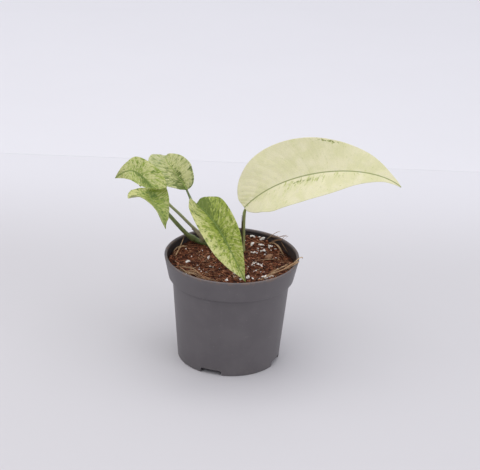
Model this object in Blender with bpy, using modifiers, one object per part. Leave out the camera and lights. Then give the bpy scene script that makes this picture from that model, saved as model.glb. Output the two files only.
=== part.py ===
"""Potted swiss cheese vine: a young variegated vine with five leaves in a 12 cm nursery pot.

Units are metres, +Z is up and the pot stands on Z = 0. Shapes are laid out around the pot's axis,
with +X towards the tip of the large leaf and -Y towards the viewer. The plant's heights are given
above the soil, so it rises and sinks with the soil's level. Everything then hangs on one empty,
which puts the middle of the whole bounding box on the origin.
"""

import math

import bmesh
import bpy
from mathutils import Vector, noise

MM = 0.001
# How far to either side a curve is sampled to find its direction, as a share of its length
SHARE_STEP = 0.001
# Points closer than this are welded into one
WELD_WITHIN = 0.005 * MM
# How far the middle of a rounded corner lies from its sides, as a share of its radius
CORNER_SHARE = 1 - math.sqrt(0.5)

# Pot: outer sizes
POT_HEIGHT = 98 * MM
RIM_RADIUS = 60 * MM
COLLAR_HEIGHT = 20.4 * MM
COLLAR_LOW_RADIUS = 55.6 * MM
WALL_TOP_RADIUS = 52.3 * MM
BASE_RADIUS = 45.5 * MM
# Pot: moulded wall, lip, foot and floor
WALL = 1.2 * MM
LIP_THICKNESS = 2.6 * MM
LIP_DEPTH = 3.2 * MM
SHOULDER_DROP = 0.8 * MM
FOOT_WIDTH = 2.2 * MM
FLOOR_UNDERSIDE = 6.5 * MM
FLOOR_THICKNESS = 1.4 * MM
FLOOR_FILLET = 2.0 * MM
NOTCH_COUNT = 4
NOTCH_WIDTH = 19.5 * MM
NOTCH_HEIGHT = 5.0 * MM
NOTCH_CORNER = 2.0 * MM
NOTCH_CORNER_STEPS = 3
NOTCH_FIRST_ANGLE = math.radians(-109)
DRAIN_COUNT = 8
DRAIN_RADIUS = 4.0 * MM
DRAIN_RING_RADIUS = 34 * MM
DRAIN_STEPS = 20
LIP_STEPS = 4
TURN_STEPS = 64

# Soil
SOIL_DEPTH_BELOW_RIM = 8.0 * MM
SOIL_EDGE_ROUND = 1.6 * MM
SOIL_RINGS = 9
SOIL_ROUGHNESS = 1.3 * MM
SOIL_GRAIN = 9 * MM
SOIL_FOOT_BEVEL = 3.0 * MM
# The rim radius for which the places on the soil below are given; they spread with the rim
PLACES_RIM_RADIUS = 60 * MM
# Slow rises and dips of the surface: x, y, height and spread, in mm
SOIL_MOUNDS = [(18, 50, 3.6, 15), (52, 18, -3.6, 16), (-38, 22, 1.2, 18), (4, -40, 2.2, 20)]

# Clearance between pieces that touch in the real plant
CLEARANCE = 0.35 * MM

# Vine: points in mm, with heights above the level of the soil
STEM_RADIUS = 2.4 * MM
STEM_TAPER = 0.25
STEM_STEPS = 20
STEM_PATH = [(-35, 37, 5), (-29.5, 35.5, 3.5), (-24, 33.5, 2.8), (-17.5, 31.5, 2.2),
             (-9, 29, 1.6), (0, 26.5, 0.8), (9, 24.5, -0.4), (15, 22.5, -4)]
PETIOLE_STEPS = 16
PETIOLE_FOOT_SHARE = 1.12
PETIOLE_TAPER = 0.3
LEAF_THICKNESS = 0.7 * MM

# Each leaf: four control points of its midrib in mm, the way its upper side faces at base, middle
# and tip, the widths in mm of its left and right half seen from above, the angles in degrees by
# which each half folds up at the midrib and curls on from there, and its outline from base to tip
# as (share of the length, share of the half width).
LEAVES = {
    "a": {
        "rib": [(-68.5, 18, 57.7), (-85.5, 35, 68.8), (-89.5, 17, 84.8), (-106, 24.5, 66.7)],
        "face": [(0.45, -0.15, 0.65), (-0.1, -0.2, 0.85), (0.05, -0.7, 0.1)],
        "half": (22.5, 17), "fold": (20, 17), "curl": (2, 1),
        "outline": [(-0.012, 0.03), (-0.03, 0.42), (0.02, 0.76), (0.20, 1.04), (0.54, 0.86),
                    (0.72, 0.47), (0.92, 0.15), (1.0, 0.012)],
        "petiole": {"stem_at": 0.17, "radius": 1.4,
                    "path": [(-26.3, 31, 10), (-32.2, 29.5, 16.3), (-38.6, 27.5, 23.3),
                             (-47.7, 25.5, 33.5), (-56, 24, 42.1), (-63.1, 22.5, 50.1)]},
    },
    "b": {
        "rib": [(-75.5, 1.5, 67.5), (-74.5, 1, 53.5), (-60.5, -23.5, 57.5), (-58.5, -22.5, 40.5)],
        "face": [(-0.35, -0.35, 0.65), (0.3, -0.3, 0.65), (0.35, -0.4, 0.35)],
        "half": (18.5, 25.5), "fold": (-18, 52), "curl": (-19, -7),
        "outline": [(-0.012, 0.03), (-0.03, 0.34), (0.05, 0.80), (0.23, 1.04), (0.48, 0.87),
                    (0.76, 0.49), (0.93, 0.15), (1.0, 0.012)],
        "petiole": {"stem_at": 0.0, "radius": 1.8,
                    "path": [(-41.2, 31, 12.2), (-48.8, 25, 23), (-56.4, 19, 34.6),
                             (-64.4, 12.5, 46.7), (-71.2, 7, 57)]},
    },
    "c": {
        "rib": [(-43, 42, 51.2), (-50.5, 72, 51.2), (-65.5, 87, 59.2), (-65.5, 108, 56.2)],
        "face": [(0.0, -0.75, 0.55), (0.05, -0.55, 0.9), (-0.25, 0.4, 0.85)],
        "half": (33, 18.5), "fold": (38, 45), "curl": (4, 8),
        "outline": [(-0.02, 0.03), (-0.09, 0.36), (-0.05, 0.80), (0.18, 1.0), (0.48, 0.88),
                    (0.76, 0.50), (0.93, 0.14), (1.0, 0.012)],
        "petiole": {"stem_at": 0.36, "radius": 1.3,
                    "path": [(-25.3, 34.5, 11.5), (-28, 36, 17), (-33.8, 38.5, 30.4),
                             (-39.5, 42.5, 42.5)]},
    },
    "d": {
        "rib": [(-32.5, 12.5, 50), (-12.5, -6, 42), (-0.5, -40, 28.5), (13, -48.5, 5)],
        "face": [(0.15, -0.1, 0.05), (0.25, -0.6, 0.55), (-0.05, -0.9, 0.25)],
        "half": (19, 23.5), "fold": (36, 28), "curl": (4, 0),
        "outline": [(-0.012, 0.035), (-0.03, 0.43), (0.04, 0.78), (0.18, 1.0), (0.56, 0.86),
                    (0.77, 0.51), (0.93, 0.14), (1.0, 0.012)],
        "petiole": {"stem_at": 0.48, "radius": 1.3,
                    "path": [(-19.4, 28.5, 11), (-25.1, 23.5, 25.4), (-30, 18.5, 39),
                             (-32.6, 16, 44.8)]},
    },
    "e": {
        "rib": [(9.5, 20, 45), (41.5, 28, 82), (117, 12, 98.5), (145.5, 2.5, 78)],
        "face": [(-0.4, -0.4, 0.65), (0.1, -0.75, 0.75), (0.25, -0.4, 0.85)],
        "half": (34.5, 34), "fold": (17, 18), "curl": (6, 6),
        "outline": [(0.0, 0.08), (0.014, 0.35), (0.085, 0.73), (0.22, 1.0), (0.44, 0.96),
                    (0.70, 0.59), (0.88, 0.20), (1.0, 0.012)],
        "petiole": {"stem_at": 0.86, "radius": 1.5,
                    "path": [(9.6, 24.5, 11.5), (9.5, 24, 21.5), (9.5, 23, 31.8),
                             (9.7, 22, 40)]},
    },
}
# The blade's rows lie closer at the base than further on, and sweep towards the tip as side veins do
MIDRIB_SPACING = 1.25
VEIN_SWEEP = 1.3
RIB_SAMPLES = 40
LEAF_STEPS = {"e": (20, 10)}
LEAF_STEPS_SMALL = (16, 8)

# Sheaths: the petiole each one clasps, where along it they start and end, how far round they reach
# and the way their middle faces, in degrees, and how loose their foot is, in mm
SHEATH_THICKNESS = 0.5 * MM
SHEATH_STEPS = (10, 8)
SHEATH_TAPER = 0.75
SHEATHS = {
    "dried_sheath": {"leaf": "e", "span": (0.08, 0.70), "arc": 150, "middle": 185, "slack": 0.5},
    "tan_sheath": {"leaf": "a", "span": (0.15, 0.38), "arc": 220, "middle": 250, "slack": 0.6},
}

# Roots: where along the stem they leave it, and the points in mm that they pass on the way down
ROOT_RADIUS = 1.0 * MM
ROOT_STEPS = 18
ROOTS = [
    (0.30, [(-25, 30, -10), (-20, 22, -30), (-24, 12, -54)]),
    (0.60, [(-8, 24, -12), (2, 14, -35), (8, 4, -60)]),
    (0.78, [(10, 20, -14), (20, 16, -34), (18, 24, -58)]),
]

# Perlite: x, y, and length, width and height of each grain, in mm
PERLITE_KNOBS = 0.45
PERLITE_KNOB_SCALE = 3.1
PERLITE_NEXT = Vector((7.3, 0.0, 0.0))
PERLITE_TURN = 1.1
PERLITE = [(18.3, 44.4, 7, 5, 4.6), (26.8, 41.5, 6, 5, 4.5), (17.5, 32, 8, 4.5, 4),
           (25.2, 31.5, 6, 4, 3.6), (27.7, 22.3, 7, 4.5, 4), (34.5, 32.4, 5, 4, 3.6),
           (19.5, 18, 5.5, 4, 3.6), (30.2, -33.1, 6, 4, 3.5), (15, -40.3, 6.5, 4.5, 4),
           (-3.6, -46.2, 5.5, 4, 3.5), (-38.5, -7, 7.5, 4.5, 3.8), (-21, 3, 5.5, 4.5, 4)]
BARK = {"at": (33, 12.5), "size": (9.5, 5, 2.4), "turn": 65}
BARK_ROUND = 0.3

# Coir fibres: x, y and height above the soil in mm
FIBRE_RADIUS = 0.5 * MM
FIBRE_TAPER = 0.4
FIBRE_STEPS = 12
FIBRE_REACH = 3 * MM
FIBRES = {
    "fibre_front": [(-46, -22, 1), (-40, -28, 2.2), (-33, -33, 2.6), (-26, -38, 1.2)],
    "fibre_right": [(33, -25, 1.5), (41, -18, 2.5), (48, -10, 3.2), (52, -2, 3.5)],
    "fibre_back": [(33, 40, 1.2), (38, 37, 3.5), (43, 30, 3), (46, 22, 1.2)],
    "fibre_left": [(-50, 6, 1), (-48, 13, 3), (-45, 20, 3.5), (-41, 26, 1.5)],
}
# The fibre that hangs over the rim: mm out from the rim's edge, degrees round, mm above the rim
RIM_FIBRE = [(-8.08, -15.64, -4.5), (-3.61, -10.21, -0.5), (-0.2, -5.76, 1.6), (2.21, -0.92, 0.6),
             (2.67, 2.74, -2.4)]

COLOURS = {
    "pot_plastic": ((0.115, 0.103, 0.112), 0.45),
    "soil": ((0.075, 0.028, 0.016), 0.95),
    "green_stem": ((0.18, 0.25, 0.06), 0.5),
    "leaf_green": ((0.28, 0.36, 0.09), 0.4),
    "leaf_cream": ((0.72, 0.70, 0.42), 0.4),
    "dry_sheath": ((0.16, 0.10, 0.05), 0.9),
    "root": ((0.55, 0.45, 0.28), 0.8),
    "perlite": ((0.85, 0.84, 0.80), 0.9),
    "bark": ((0.32, 0.17, 0.09), 0.9),
    "coir": ((0.42, 0.27, 0.14), 0.9),
}


def clear_scene():
    for obj in list(bpy.data.objects):
        bpy.data.objects.remove(obj, do_unlink=True)


def material(name):
    found = bpy.data.materials.get(name)
    if found:
        return found
    made = bpy.data.materials.new(name)
    made.use_nodes = True
    colour, roughness = COLOURS[name]
    shader = made.node_tree.nodes["Principled BSDF"]
    shader.inputs["Base Color"].default_value = (*colour, 1.0)
    shader.inputs["Roughness"].default_value = roughness
    shader.inputs["Metallic"].default_value = 0.0
    return made


def add_collection(name, hidden=False):
    made = bpy.data.collections.new(name)
    made.hide_render = hidden
    bpy.context.scene.collection.children.link(made)
    return made


def add_object(name, data, collection, finish=None):
    obj = bpy.data.objects.new(name, data)
    collection.objects.link(obj)
    if finish:
        data.materials.append(material(finish))
    return obj


def as_cutter(obj):
    obj.hide_render = True
    obj.display_type = "WIRE"
    return obj


def cut(target, cutter):
    step = target.modifiers.new("cut_" + cutter.name, "BOOLEAN")
    step.operation = "DIFFERENCE"
    step.solver = "EXACT"
    step.object = cutter


def planted(point):
    """The place in metres of a plant's point, which is given in mm above the soil's level."""
    return Vector(point) * MM + Vector((0.0, 0.0, soil_level()))


def spread_out(x, y):
    """The place in metres of a point on the soil, which is given in mm."""
    scale = MM * RIM_RADIUS / PLACES_RIM_RADIUS
    return x * scale, y * scale


# Curves through points

def smooth_through(points, share):
    """The point at a share, 0 to 1, of a smooth curve through the points (tuples or Vectors)."""
    rows = [Vector(point) for point in points]
    rows.insert(0, 2 * rows[0] - rows[1])
    rows.append(2 * rows[-1] - rows[-2])
    spans = len(rows) - 3
    place = min(max(share, 0.0), 1.0) * spans
    first = min(int(place), spans - 1)
    step = place - first
    before, start, end, after = rows[first:first + 4]
    return 0.5 * (2 * start + (end - before) * step
                  + (2 * before - 5 * start + 4 * end - after) * step ** 2
                  + (3 * start - before - 3 * end + after) * step ** 3)


def sampled(points, count):
    return [smooth_through(points, index / (count - 1)) for index in range(count)]


def bezier(points, share):
    rows = [Vector(point) for point in points]
    while len(rows) > 1:
        rows = [a.lerp(b, share) for a, b in zip(rows, rows[1:])]
    return rows[0]


def tube(name, points, radii, collection, finish):
    """A capped round tube along points in metres; radii holds one radius for each point."""
    curve = bpy.data.curves.new(name, "CURVE")
    curve.dimensions = "3D"
    curve.bevel_depth = radii[0]
    curve.bevel_resolution = 2
    curve.use_fill_caps = True
    spline = curve.splines.new("POLY")
    spline.points.add(len(points) - 1)
    for target, point, radius in zip(spline.points, points, radii):
        target.co = (*point, 1.0)
        target.radius = radius / radii[0]
    return add_object(name, curve, collection, finish)


def tube_mesh(name, points, radii, collection, finish=None):
    """The same tube as one welded mesh, which can cut other meshes."""
    curve = tube(name + "_curve", points, radii, collection, None)
    depsgraph = bpy.context.evaluated_depsgraph_get()
    mesh = bpy.data.meshes.new_from_object(curve.evaluated_get(depsgraph))
    mesh.name = name
    welded = bmesh.new()
    welded.from_mesh(mesh)
    bmesh.ops.remove_doubles(welded, verts=welded.verts, dist=WELD_WITHIN)
    welded.to_mesh(mesh)
    welded.free()
    bpy.data.objects.remove(curve, do_unlink=True)
    return add_object(name, mesh, collection, finish)


def turned(name, profile, collection, finish=None):
    """A solid turned around Z. The profile's (radius, height) points go up inside, down outside."""
    mesh = bpy.data.meshes.new(name)
    shape = bmesh.new()
    corners = [shape.verts.new((radius, 0.0, height)) for radius, height in profile]
    for start, end in zip(corners, corners[1:]):
        shape.edges.new((start, end))
    shape.to_mesh(mesh)
    shape.free()
    obj = add_object(name, mesh, collection, finish)
    screw = obj.modifiers.new("turn", "SCREW")
    screw.axis = "Z"
    screw.steps = TURN_STEPS
    screw.render_steps = TURN_STEPS
    screw.use_merge_vertices = True
    screw.merge_threshold = WELD_WITHIN
    screw.use_smooth_shade = False
    return obj


def baked(obj):
    """Replaces the object's mesh by its evaluated one, without its modifiers."""
    depsgraph = bpy.context.evaluated_depsgraph_get()
    mesh = bpy.data.meshes.new_from_object(obj.evaluated_get(depsgraph))
    obj.modifiers.clear()
    obj.data = mesh
    return mesh


# Pot

def shoulder_height():
    return POT_HEIGHT - COLLAR_HEIGHT


def wall_radius(height):
    """Outer radius of the tapered wall below the collar."""
    return BASE_RADIUS + (WALL_TOP_RADIUS - BASE_RADIUS) * height / shoulder_height()


def collar_radius(height):
    """Outer radius of the collar."""
    share = (height - shoulder_height()) / COLLAR_HEIGHT
    return COLLAR_LOW_RADIUS + (RIM_RADIUS - COLLAR_LOW_RADIUS) * share


def floor_top():
    return FLOOR_UNDERSIDE + FLOOR_THICKNESS


def inner_step():
    """Height at which the collar's inside steps in to the wall's inside."""
    return shoulder_height() + WALL


def quarter_round(centre, radius, start_angle):
    """Points of a quarter circle, turning clockwise from the start angle in degrees."""
    turns = [math.radians(start_angle - 90 * index / LIP_STEPS) for index in range(LIP_STEPS + 1)]
    return [(centre[0] + radius * math.cos(turn), centre[1] + radius * math.sin(turn))
            for turn in turns]


def pot_profile():
    lip_low = POT_HEIGHT - LIP_DEPTH
    lip_round = LIP_THICKNESS / 2
    lip_middle = RIM_RADIUS - lip_round
    lip_top = POT_HEIGHT - lip_round
    inside_floor = wall_radius(floor_top()) - WALL
    step = inner_step()
    inside = [
        (0.0, floor_top()),
        (inside_floor - FLOOR_FILLET, floor_top()),
        (inside_floor - FLOOR_FILLET * CORNER_SHARE, floor_top() + FLOOR_FILLET * CORNER_SHARE),
        (wall_radius(floor_top() + FLOOR_FILLET) - WALL, floor_top() + FLOOR_FILLET),
        (wall_radius(step) - WALL, step - SHOULDER_DROP),
        (wall_radius(step) - WALL + SHOULDER_DROP, step),
        (collar_radius(step) - WALL - SHOULDER_DROP, step),
        (collar_radius(step) - WALL, step + SHOULDER_DROP),
        (collar_radius(lip_low) - WALL, lip_low),
        (RIM_RADIUS - LIP_THICKNESS, lip_low + SHOULDER_DROP),
    ]
    lip = quarter_round((lip_middle, lip_top), lip_round, 180)
    lip += quarter_round((lip_middle, lip_top), lip_round, 90)[1:]
    outside = [
        (collar_radius(lip_low), lip_low),
        (COLLAR_LOW_RADIUS, shoulder_height() + SHOULDER_DROP / 2),
        (COLLAR_LOW_RADIUS - SHOULDER_DROP / 2, shoulder_height()),
        (WALL_TOP_RADIUS + SHOULDER_DROP / 2, shoulder_height()),
        (WALL_TOP_RADIUS, shoulder_height() - SHOULDER_DROP / 2),
        (wall_radius(SHOULDER_DROP), SHOULDER_DROP),
        (BASE_RADIUS - SHOULDER_DROP / 2, 0.0),
        (BASE_RADIUS - FOOT_WIDTH, 0.0),
        (BASE_RADIUS - FOOT_WIDTH, FLOOR_UNDERSIDE),
        (0.0, FLOOR_UNDERSIDE),
    ]
    return inside + lip + outside


def notch_cutter(index, cutters):
    """A round-topped block through the foot ring."""
    name = f"foot_notch_{index + 1}"
    mesh = bpy.data.meshes.new(name)
    shape = bmesh.new()
    bmesh.ops.create_cube(shape, size=1.0)
    depth = 4 * FOOT_WIDTH
    for corner in shape.verts:
        corner.co = (corner.co.x * depth, corner.co.y * NOTCH_WIDTH, corner.co.z * 2 * NOTCH_HEIGHT)
    upper = [edge for edge in shape.edges if all(end.co.z > 0 for end in edge.verts)]
    along = [edge for edge in upper if abs(edge.verts[0].co.x - edge.verts[1].co.x) > depth / 2]
    bmesh.ops.bevel(shape, geom=along, offset=NOTCH_CORNER, segments=NOTCH_CORNER_STEPS,
                    affect="EDGES", profile=0.5)
    shape.to_mesh(mesh)
    shape.free()
    cutter = as_cutter(add_object(name, mesh, cutters))
    turn = NOTCH_FIRST_ANGLE + index * math.tau / NOTCH_COUNT
    middle = BASE_RADIUS - FOOT_WIDTH / 2
    cutter.location = (middle * math.cos(turn), middle * math.sin(turn), 0.0)
    cutter.rotation_euler = (0.0, 0.0, turn)
    return cutter


def drain_cutter(index, cutters):
    name = f"drain_hole_{index + 1}"
    mesh = bpy.data.meshes.new(name)
    shape = bmesh.new()
    bmesh.ops.create_cone(shape, cap_ends=True, segments=DRAIN_STEPS, radius1=DRAIN_RADIUS,
                          radius2=DRAIN_RADIUS, depth=4 * FLOOR_THICKNESS)
    shape.to_mesh(mesh)
    shape.free()
    cutter = as_cutter(add_object(name, mesh, cutters))
    turn = (index + 0.5) * math.tau / DRAIN_COUNT
    cutter.location = (DRAIN_RING_RADIUS * math.cos(turn), DRAIN_RING_RADIUS * math.sin(turn),
                       FLOOR_UNDERSIDE + FLOOR_THICKNESS / 2)
    return cutter


def nursery_pot(parts, cutters):
    pot = turned("nursery_pot", pot_profile(), parts, "pot_plastic")
    for index in range(NOTCH_COUNT):
        cut(pot, notch_cutter(index, cutters))
    for index in range(DRAIN_COUNT):
        cut(pot, drain_cutter(index, cutters))
    return pot


# Soil

def soil_level():
    return POT_HEIGHT - SOIL_DEPTH_BELOW_RIM


def soil_rim_radius():
    return collar_radius(soil_level()) - WALL - CLEARANCE


def soil_height(x, y):
    """Height of the soil's surface at a place given in metres from the pot's axis."""
    height = soil_level()
    for mound_x, mound_y, rise, spread in SOIL_MOUNDS:
        middle_x, middle_y = spread_out(mound_x, mound_y)
        away = math.hypot(x - middle_x, y - middle_y) / (spread * MM)
        height += rise * MM * math.exp(-away ** 2)
    return height + SOIL_ROUGHNESS * noise.noise(Vector((x, y, 0.0)) / SOIL_GRAIN)


def soil_peak(x, y, reach):
    """Highest point of the soil within reach of a place, which a piece lying there rests on."""
    samples = [(0.0, 0.0)]
    for ring in (reach / 2, reach):
        for turn in (math.radians(degrees) for degrees in range(0, 360, 45)):
            samples.append((ring * math.cos(turn), ring * math.sin(turn)))
    return max(soil_height(x + dx, y + dy) for dx, dy in samples)


def soil_profile():
    level = soil_level()
    rim = soil_rim_radius()
    step = inner_step() + CLEARANCE
    low = floor_top() + CLEARANCE
    inside = wall_radius(low) - WALL - CLEARANCE
    surface = [((rim - SOIL_EDGE_ROUND) * ring / SOIL_RINGS, level) for ring in range(SOIL_RINGS)]
    side = [
        (rim - SOIL_EDGE_ROUND, level),
        (collar_radius(level - SOIL_EDGE_ROUND) - WALL - CLEARANCE, level - SOIL_EDGE_ROUND),
        (collar_radius(step) - WALL - CLEARANCE - SHOULDER_DROP, step + SHOULDER_DROP),
        (collar_radius(step) - WALL - CLEARANCE - 2 * SHOULDER_DROP, step),
        (wall_radius(step) - WALL - CLEARANCE, step),
        (wall_radius(low + SOIL_FOOT_BEVEL) - WALL - CLEARANCE, low + SOIL_FOOT_BEVEL),
        (inside - SOIL_FOOT_BEVEL, low),
        (0.0, low),
    ]
    return surface + side


def potting_soil(parts, cutters, buried):
    soil = turned("potting_soil", soil_profile(), parts, "soil")
    mesh = baked(soil)
    surface_low = soil_level() - SOIL_EDGE_ROUND / 2
    for vertex in mesh.vertices:
        if vertex.co.z > surface_low:
            vertex.co.z = soil_height(vertex.co.x, vertex.co.y)
    for name, points, radii in buried:
        roomy = [radius + CLEARANCE for radius in radii]
        route = lengthened(points, CLEARANCE)
        cut(soil, as_cutter(tube_mesh("socket_" + name, route, roomy, cutters)))
    return soil


# Leaves

def bent_slab(name, steps, placed, parts, material):
    """A thin closed piece: a unit slab whose points, from 0 to 1 each way, go where placed says."""
    mesh = bpy.data.meshes.new(name)
    shape = bmesh.new()
    bmesh.ops.create_grid(shape, x_segments=steps[0], y_segments=steps[1], size=0.5)
    raised = bmesh.ops.extrude_face_region(shape, geom=shape.faces[:], use_keep_orig=True)
    for item in raised["geom"]:
        if isinstance(item, bmesh.types.BMVert):
            item.co.z = 1.0
    bmesh.ops.recalc_face_normals(shape, faces=shape.faces[:])
    for vertex in shape.verts:
        vertex.co = placed(vertex.co + Vector((0.5, 0.5, 0.0)))
    if shape.calc_volume(signed=True) < 0:
        bmesh.ops.reverse_faces(shape, faces=shape.faces[:])
    shape.to_mesh(mesh)
    shape.free()
    mesh.shade_smooth()
    return add_object(name, mesh, parts, material)


def leaf_axes(leaf, share):
    """Point on the midrib, its direction and the way the upper side faces, at a share of its length."""
    ahead = bezier(leaf["rib"], min(share + SHARE_STEP, 1.0))
    behind = bezier(leaf["rib"], max(share - SHARE_STEP, 0.0))
    along = (ahead - behind).normalized()
    facing = bezier(leaf["face"], share)
    facing = (facing - along * facing.dot(along)).normalized()
    return planted(bezier(leaf["rib"], share)), along, facing


def rib_length(leaf):
    points = [bezier(leaf["rib"], index / RIB_SAMPLES) for index in range(RIB_SAMPLES + 1)]
    return sum((b - a).length for a, b in zip(points, points[1:])) * MM


def leaf_point(leaf, share, across, lift):
    """A point of the blade: share runs along the outline from base to tip, across from -1 to 1.

    Its distance from the middle of the thickness, lift, is along the way the midrib faces.
    """
    margin_along, margin_width = smooth_through([(*pair, 0.0) for pair in leaf["outline"]], share)[:2]
    out = abs(across)
    middle = share ** MIDRIB_SPACING
    place = middle + (margin_along - middle) * out ** VEIN_SWEEP
    point, along, facing = leaf_axes(leaf, min(max(place, 0.0), 1.0))
    point += along * min(place, 0.0) * rib_length(leaf)
    side = 1 if across > 0 else 0
    turn = math.radians(leaf["fold"][side] + leaf["curl"][side] * out / 2)
    reach = leaf["half"][side] * MM * margin_width * out
    sideways = along.cross(facing) * math.copysign(1.0, across)
    return point + sideways * reach * math.cos(turn) + facing * (reach * math.sin(turn) + lift)


def leaf_blade(key, parts):
    leaf = LEAVES[key]
    steps, wide = LEAF_STEPS.get(key, LEAF_STEPS_SMALL)

    def placed(spot):
        return leaf_point(leaf, spot.x, 2 * spot.y - 1, LEAF_THICKNESS * (spot.z - 0.5))

    return bent_slab("leaf_" + key, (steps, wide), placed, parts,
                     "leaf_cream" if key == "e" else "leaf_green")


# Stem, petioles, sheaths and roots

def stem_axis(share):
    """Point and direction of the stem's axis at a share of its length."""
    ahead = smooth_through(STEM_PATH, min(share + SHARE_STEP, 1.0))
    behind = smooth_through(STEM_PATH, max(share - SHARE_STEP, 0.0))
    return planted(smooth_through(STEM_PATH, share)), (ahead - behind).normalized()


def off_the_stem(stem_at, towards, radius):
    """Where a petiole of this radius starts, so that its flat end is just clear of the stem.

    A petiole at the stem's own end leaves from that end's rim, the others from the stem's side.
    """
    centre, axis = stem_axis(stem_at)
    heading = (towards - centre).normalized()
    along = abs(heading.dot(axis))
    across = math.sqrt(1 - along ** 2)
    if stem_at == 0.0:
        return centre + heading * (2 * CLEARANCE + (STEM_RADIUS + radius) * across)
    return centre + heading * (STEM_RADIUS + 2 * CLEARANCE + radius * along) / across


def petiole_path(key):
    """Points of a leaf's petiole, from beside the stem to just under the base of the blade."""
    leaf = LEAVES[key]
    radius = leaf["petiole"]["radius"] * MM
    route = [planted(point) for point in leaf["petiole"]["path"]]
    base, _, facing = leaf_axes(leaf, 0.0)
    top = base - facing * (LEAF_THICKNESS / 2 + 2 * CLEARANCE + radius)
    foot = off_the_stem(leaf["petiole"]["stem_at"], route[0], radius)
    return [foot, *route, top]


def petiole_radii(key, count):
    radius = LEAVES[key]["petiole"]["radius"] * MM
    return [radius * (PETIOLE_FOOT_SHARE - PETIOLE_TAPER * index / (count - 1))
            for index in range(count)]


def petiole(key, parts):
    points = sampled(petiole_path(key), PETIOLE_STEPS)
    return tube("petiole_" + key, points, petiole_radii(key, PETIOLE_STEPS), parts, "green_stem")


def sheath(name, parts):
    """A thin scale that clasps the foot of a petiole."""
    spec = SHEATHS[name]
    path = petiole_path(spec["leaf"])
    start, end = spec["span"]
    widest = petiole_radii(spec["leaf"], PETIOLE_STEPS)[0]

    def placed(spot):
        place = start + (end - start) * spot.x
        centre = smooth_through(path, place)
        ahead, behind = (smooth_through(path, place + step) for step in (SHARE_STEP, -SHARE_STEP))
        heading = (ahead - behind).normalized()
        east = Vector((0.0, 1.0, 0.0)).cross(heading).normalized()
        north = heading.cross(east)
        taper = 1.0 - SHEATH_TAPER * spot.x ** 2
        turn = math.radians(spec["middle"] + spec["arc"] * (spot.y - 0.5) * taper)
        gap = CLEARANCE + SHEATH_THICKNESS * spot.z + spec["slack"] * MM * (1 - spot.x)
        return centre + (east * math.cos(turn) + north * math.sin(turn)) * (widest + gap)

    return bent_slab(name, SHEATH_STEPS, placed, parts, "dry_sheath")


def stem_points():
    return [planted(point) for point in sampled(STEM_PATH, STEM_STEPS)]


def stem_radii():
    return [STEM_RADIUS * (1.0 - STEM_TAPER * (index / (STEM_STEPS - 1)) ** 3)
            for index in range(STEM_STEPS)]


def root_line(index):
    """Points from the stem's axis down to the root's tip."""
    stem_at, route = ROOTS[index]
    return sampled([stem_axis(stem_at)[0], *(planted(point) for point in route)], ROOT_STEPS)


def outside_stem(points):
    """The points of a root from where it is clear of the stem."""
    clear = STEM_RADIUS + ROOT_RADIUS + 2 * CLEARANCE
    return [point for point in points if (point - points[0]).length > clear]


def lengthened(points, extra):
    """The line with its last point moved on, so that a socket reaches past the piece's end."""
    tail = (points[-1] - points[-2]).normalized()
    return [*points[:-1], points[-1] + tail * extra]


# Loose pieces on the soil

def perlite_grain(index, parts):
    x, y, *sizes = PERLITE[index]
    name = f"perlite_{index + 1:02d}"
    mesh = bpy.data.meshes.new(name)
    shape = bmesh.new()
    bmesh.ops.create_icosphere(shape, subdivisions=2, radius=0.5)
    for vertex in shape.verts:
        knobs = noise.noise(vertex.co * PERLITE_KNOB_SCALE + index * PERLITE_NEXT)
        vertex.co *= 1.0 + PERLITE_KNOBS * knobs
        vertex.co = Vector([value * size * MM for value, size in zip(vertex.co, sizes)])
    lowest = min(vertex.co.z for vertex in shape.verts)
    shape.to_mesh(mesh)
    shape.free()
    grain = add_object(name, mesh, parts, "perlite")
    x, y = spread_out(x, y)
    grain.location = (x, y, soil_peak(x, y, sizes[0] * MM) + CLEARANCE - lowest)
    grain.rotation_euler = (0.0, 0.0, index * PERLITE_TURN)
    return grain


def bark_chip(parts):
    length, width, height = [size * MM for size in BARK["size"]]
    mesh = bpy.data.meshes.new("bark_chip")
    shape = bmesh.new()
    bmesh.ops.create_cube(shape, size=1.0)
    for vertex in shape.verts:
        vertex.co = (vertex.co.x * length, vertex.co.y * width, vertex.co.z * height)
    bmesh.ops.bevel(shape, geom=shape.edges[:], offset=height * BARK_ROUND, segments=2,
                    affect="EDGES", profile=0.5)
    shape.to_mesh(mesh)
    shape.free()
    chip = add_object("bark_chip", mesh, parts, "bark")
    x, y = spread_out(*BARK["at"])
    chip.location = (x, y, soil_peak(x, y, length) + CLEARANCE + height / 2)
    chip.rotation_euler = (0.0, 0.0, math.radians(BARK["turn"]))
    return chip


def fibre_on_soil(name):
    raised = []
    for x, y, lift in FIBRES[name]:
        x, y = spread_out(x, y)
        raised.append(Vector((x, y, soil_peak(x, y, FIBRE_REACH) + lift * MM)))
    return raised


def fibre_over_rim():
    hung = []
    for out, degrees, lift in RIM_FIBRE:
        reach = RIM_RADIUS + out * MM
        turn = math.radians(degrees)
        hung.append(Vector((reach * math.cos(turn), reach * math.sin(turn), POT_HEIGHT + lift * MM)))
    return hung


def fibre(name, points, parts):
    """A fibre through the points, thickest in its middle."""
    last = FIBRE_STEPS - 1
    radii = [FIBRE_RADIUS * (1.0 - FIBRE_TAPER * abs(2 * index / last - 1))
             for index in range(FIBRE_STEPS)]
    return tube(name, sampled(points, FIBRE_STEPS), radii, parts, "coir")


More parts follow.
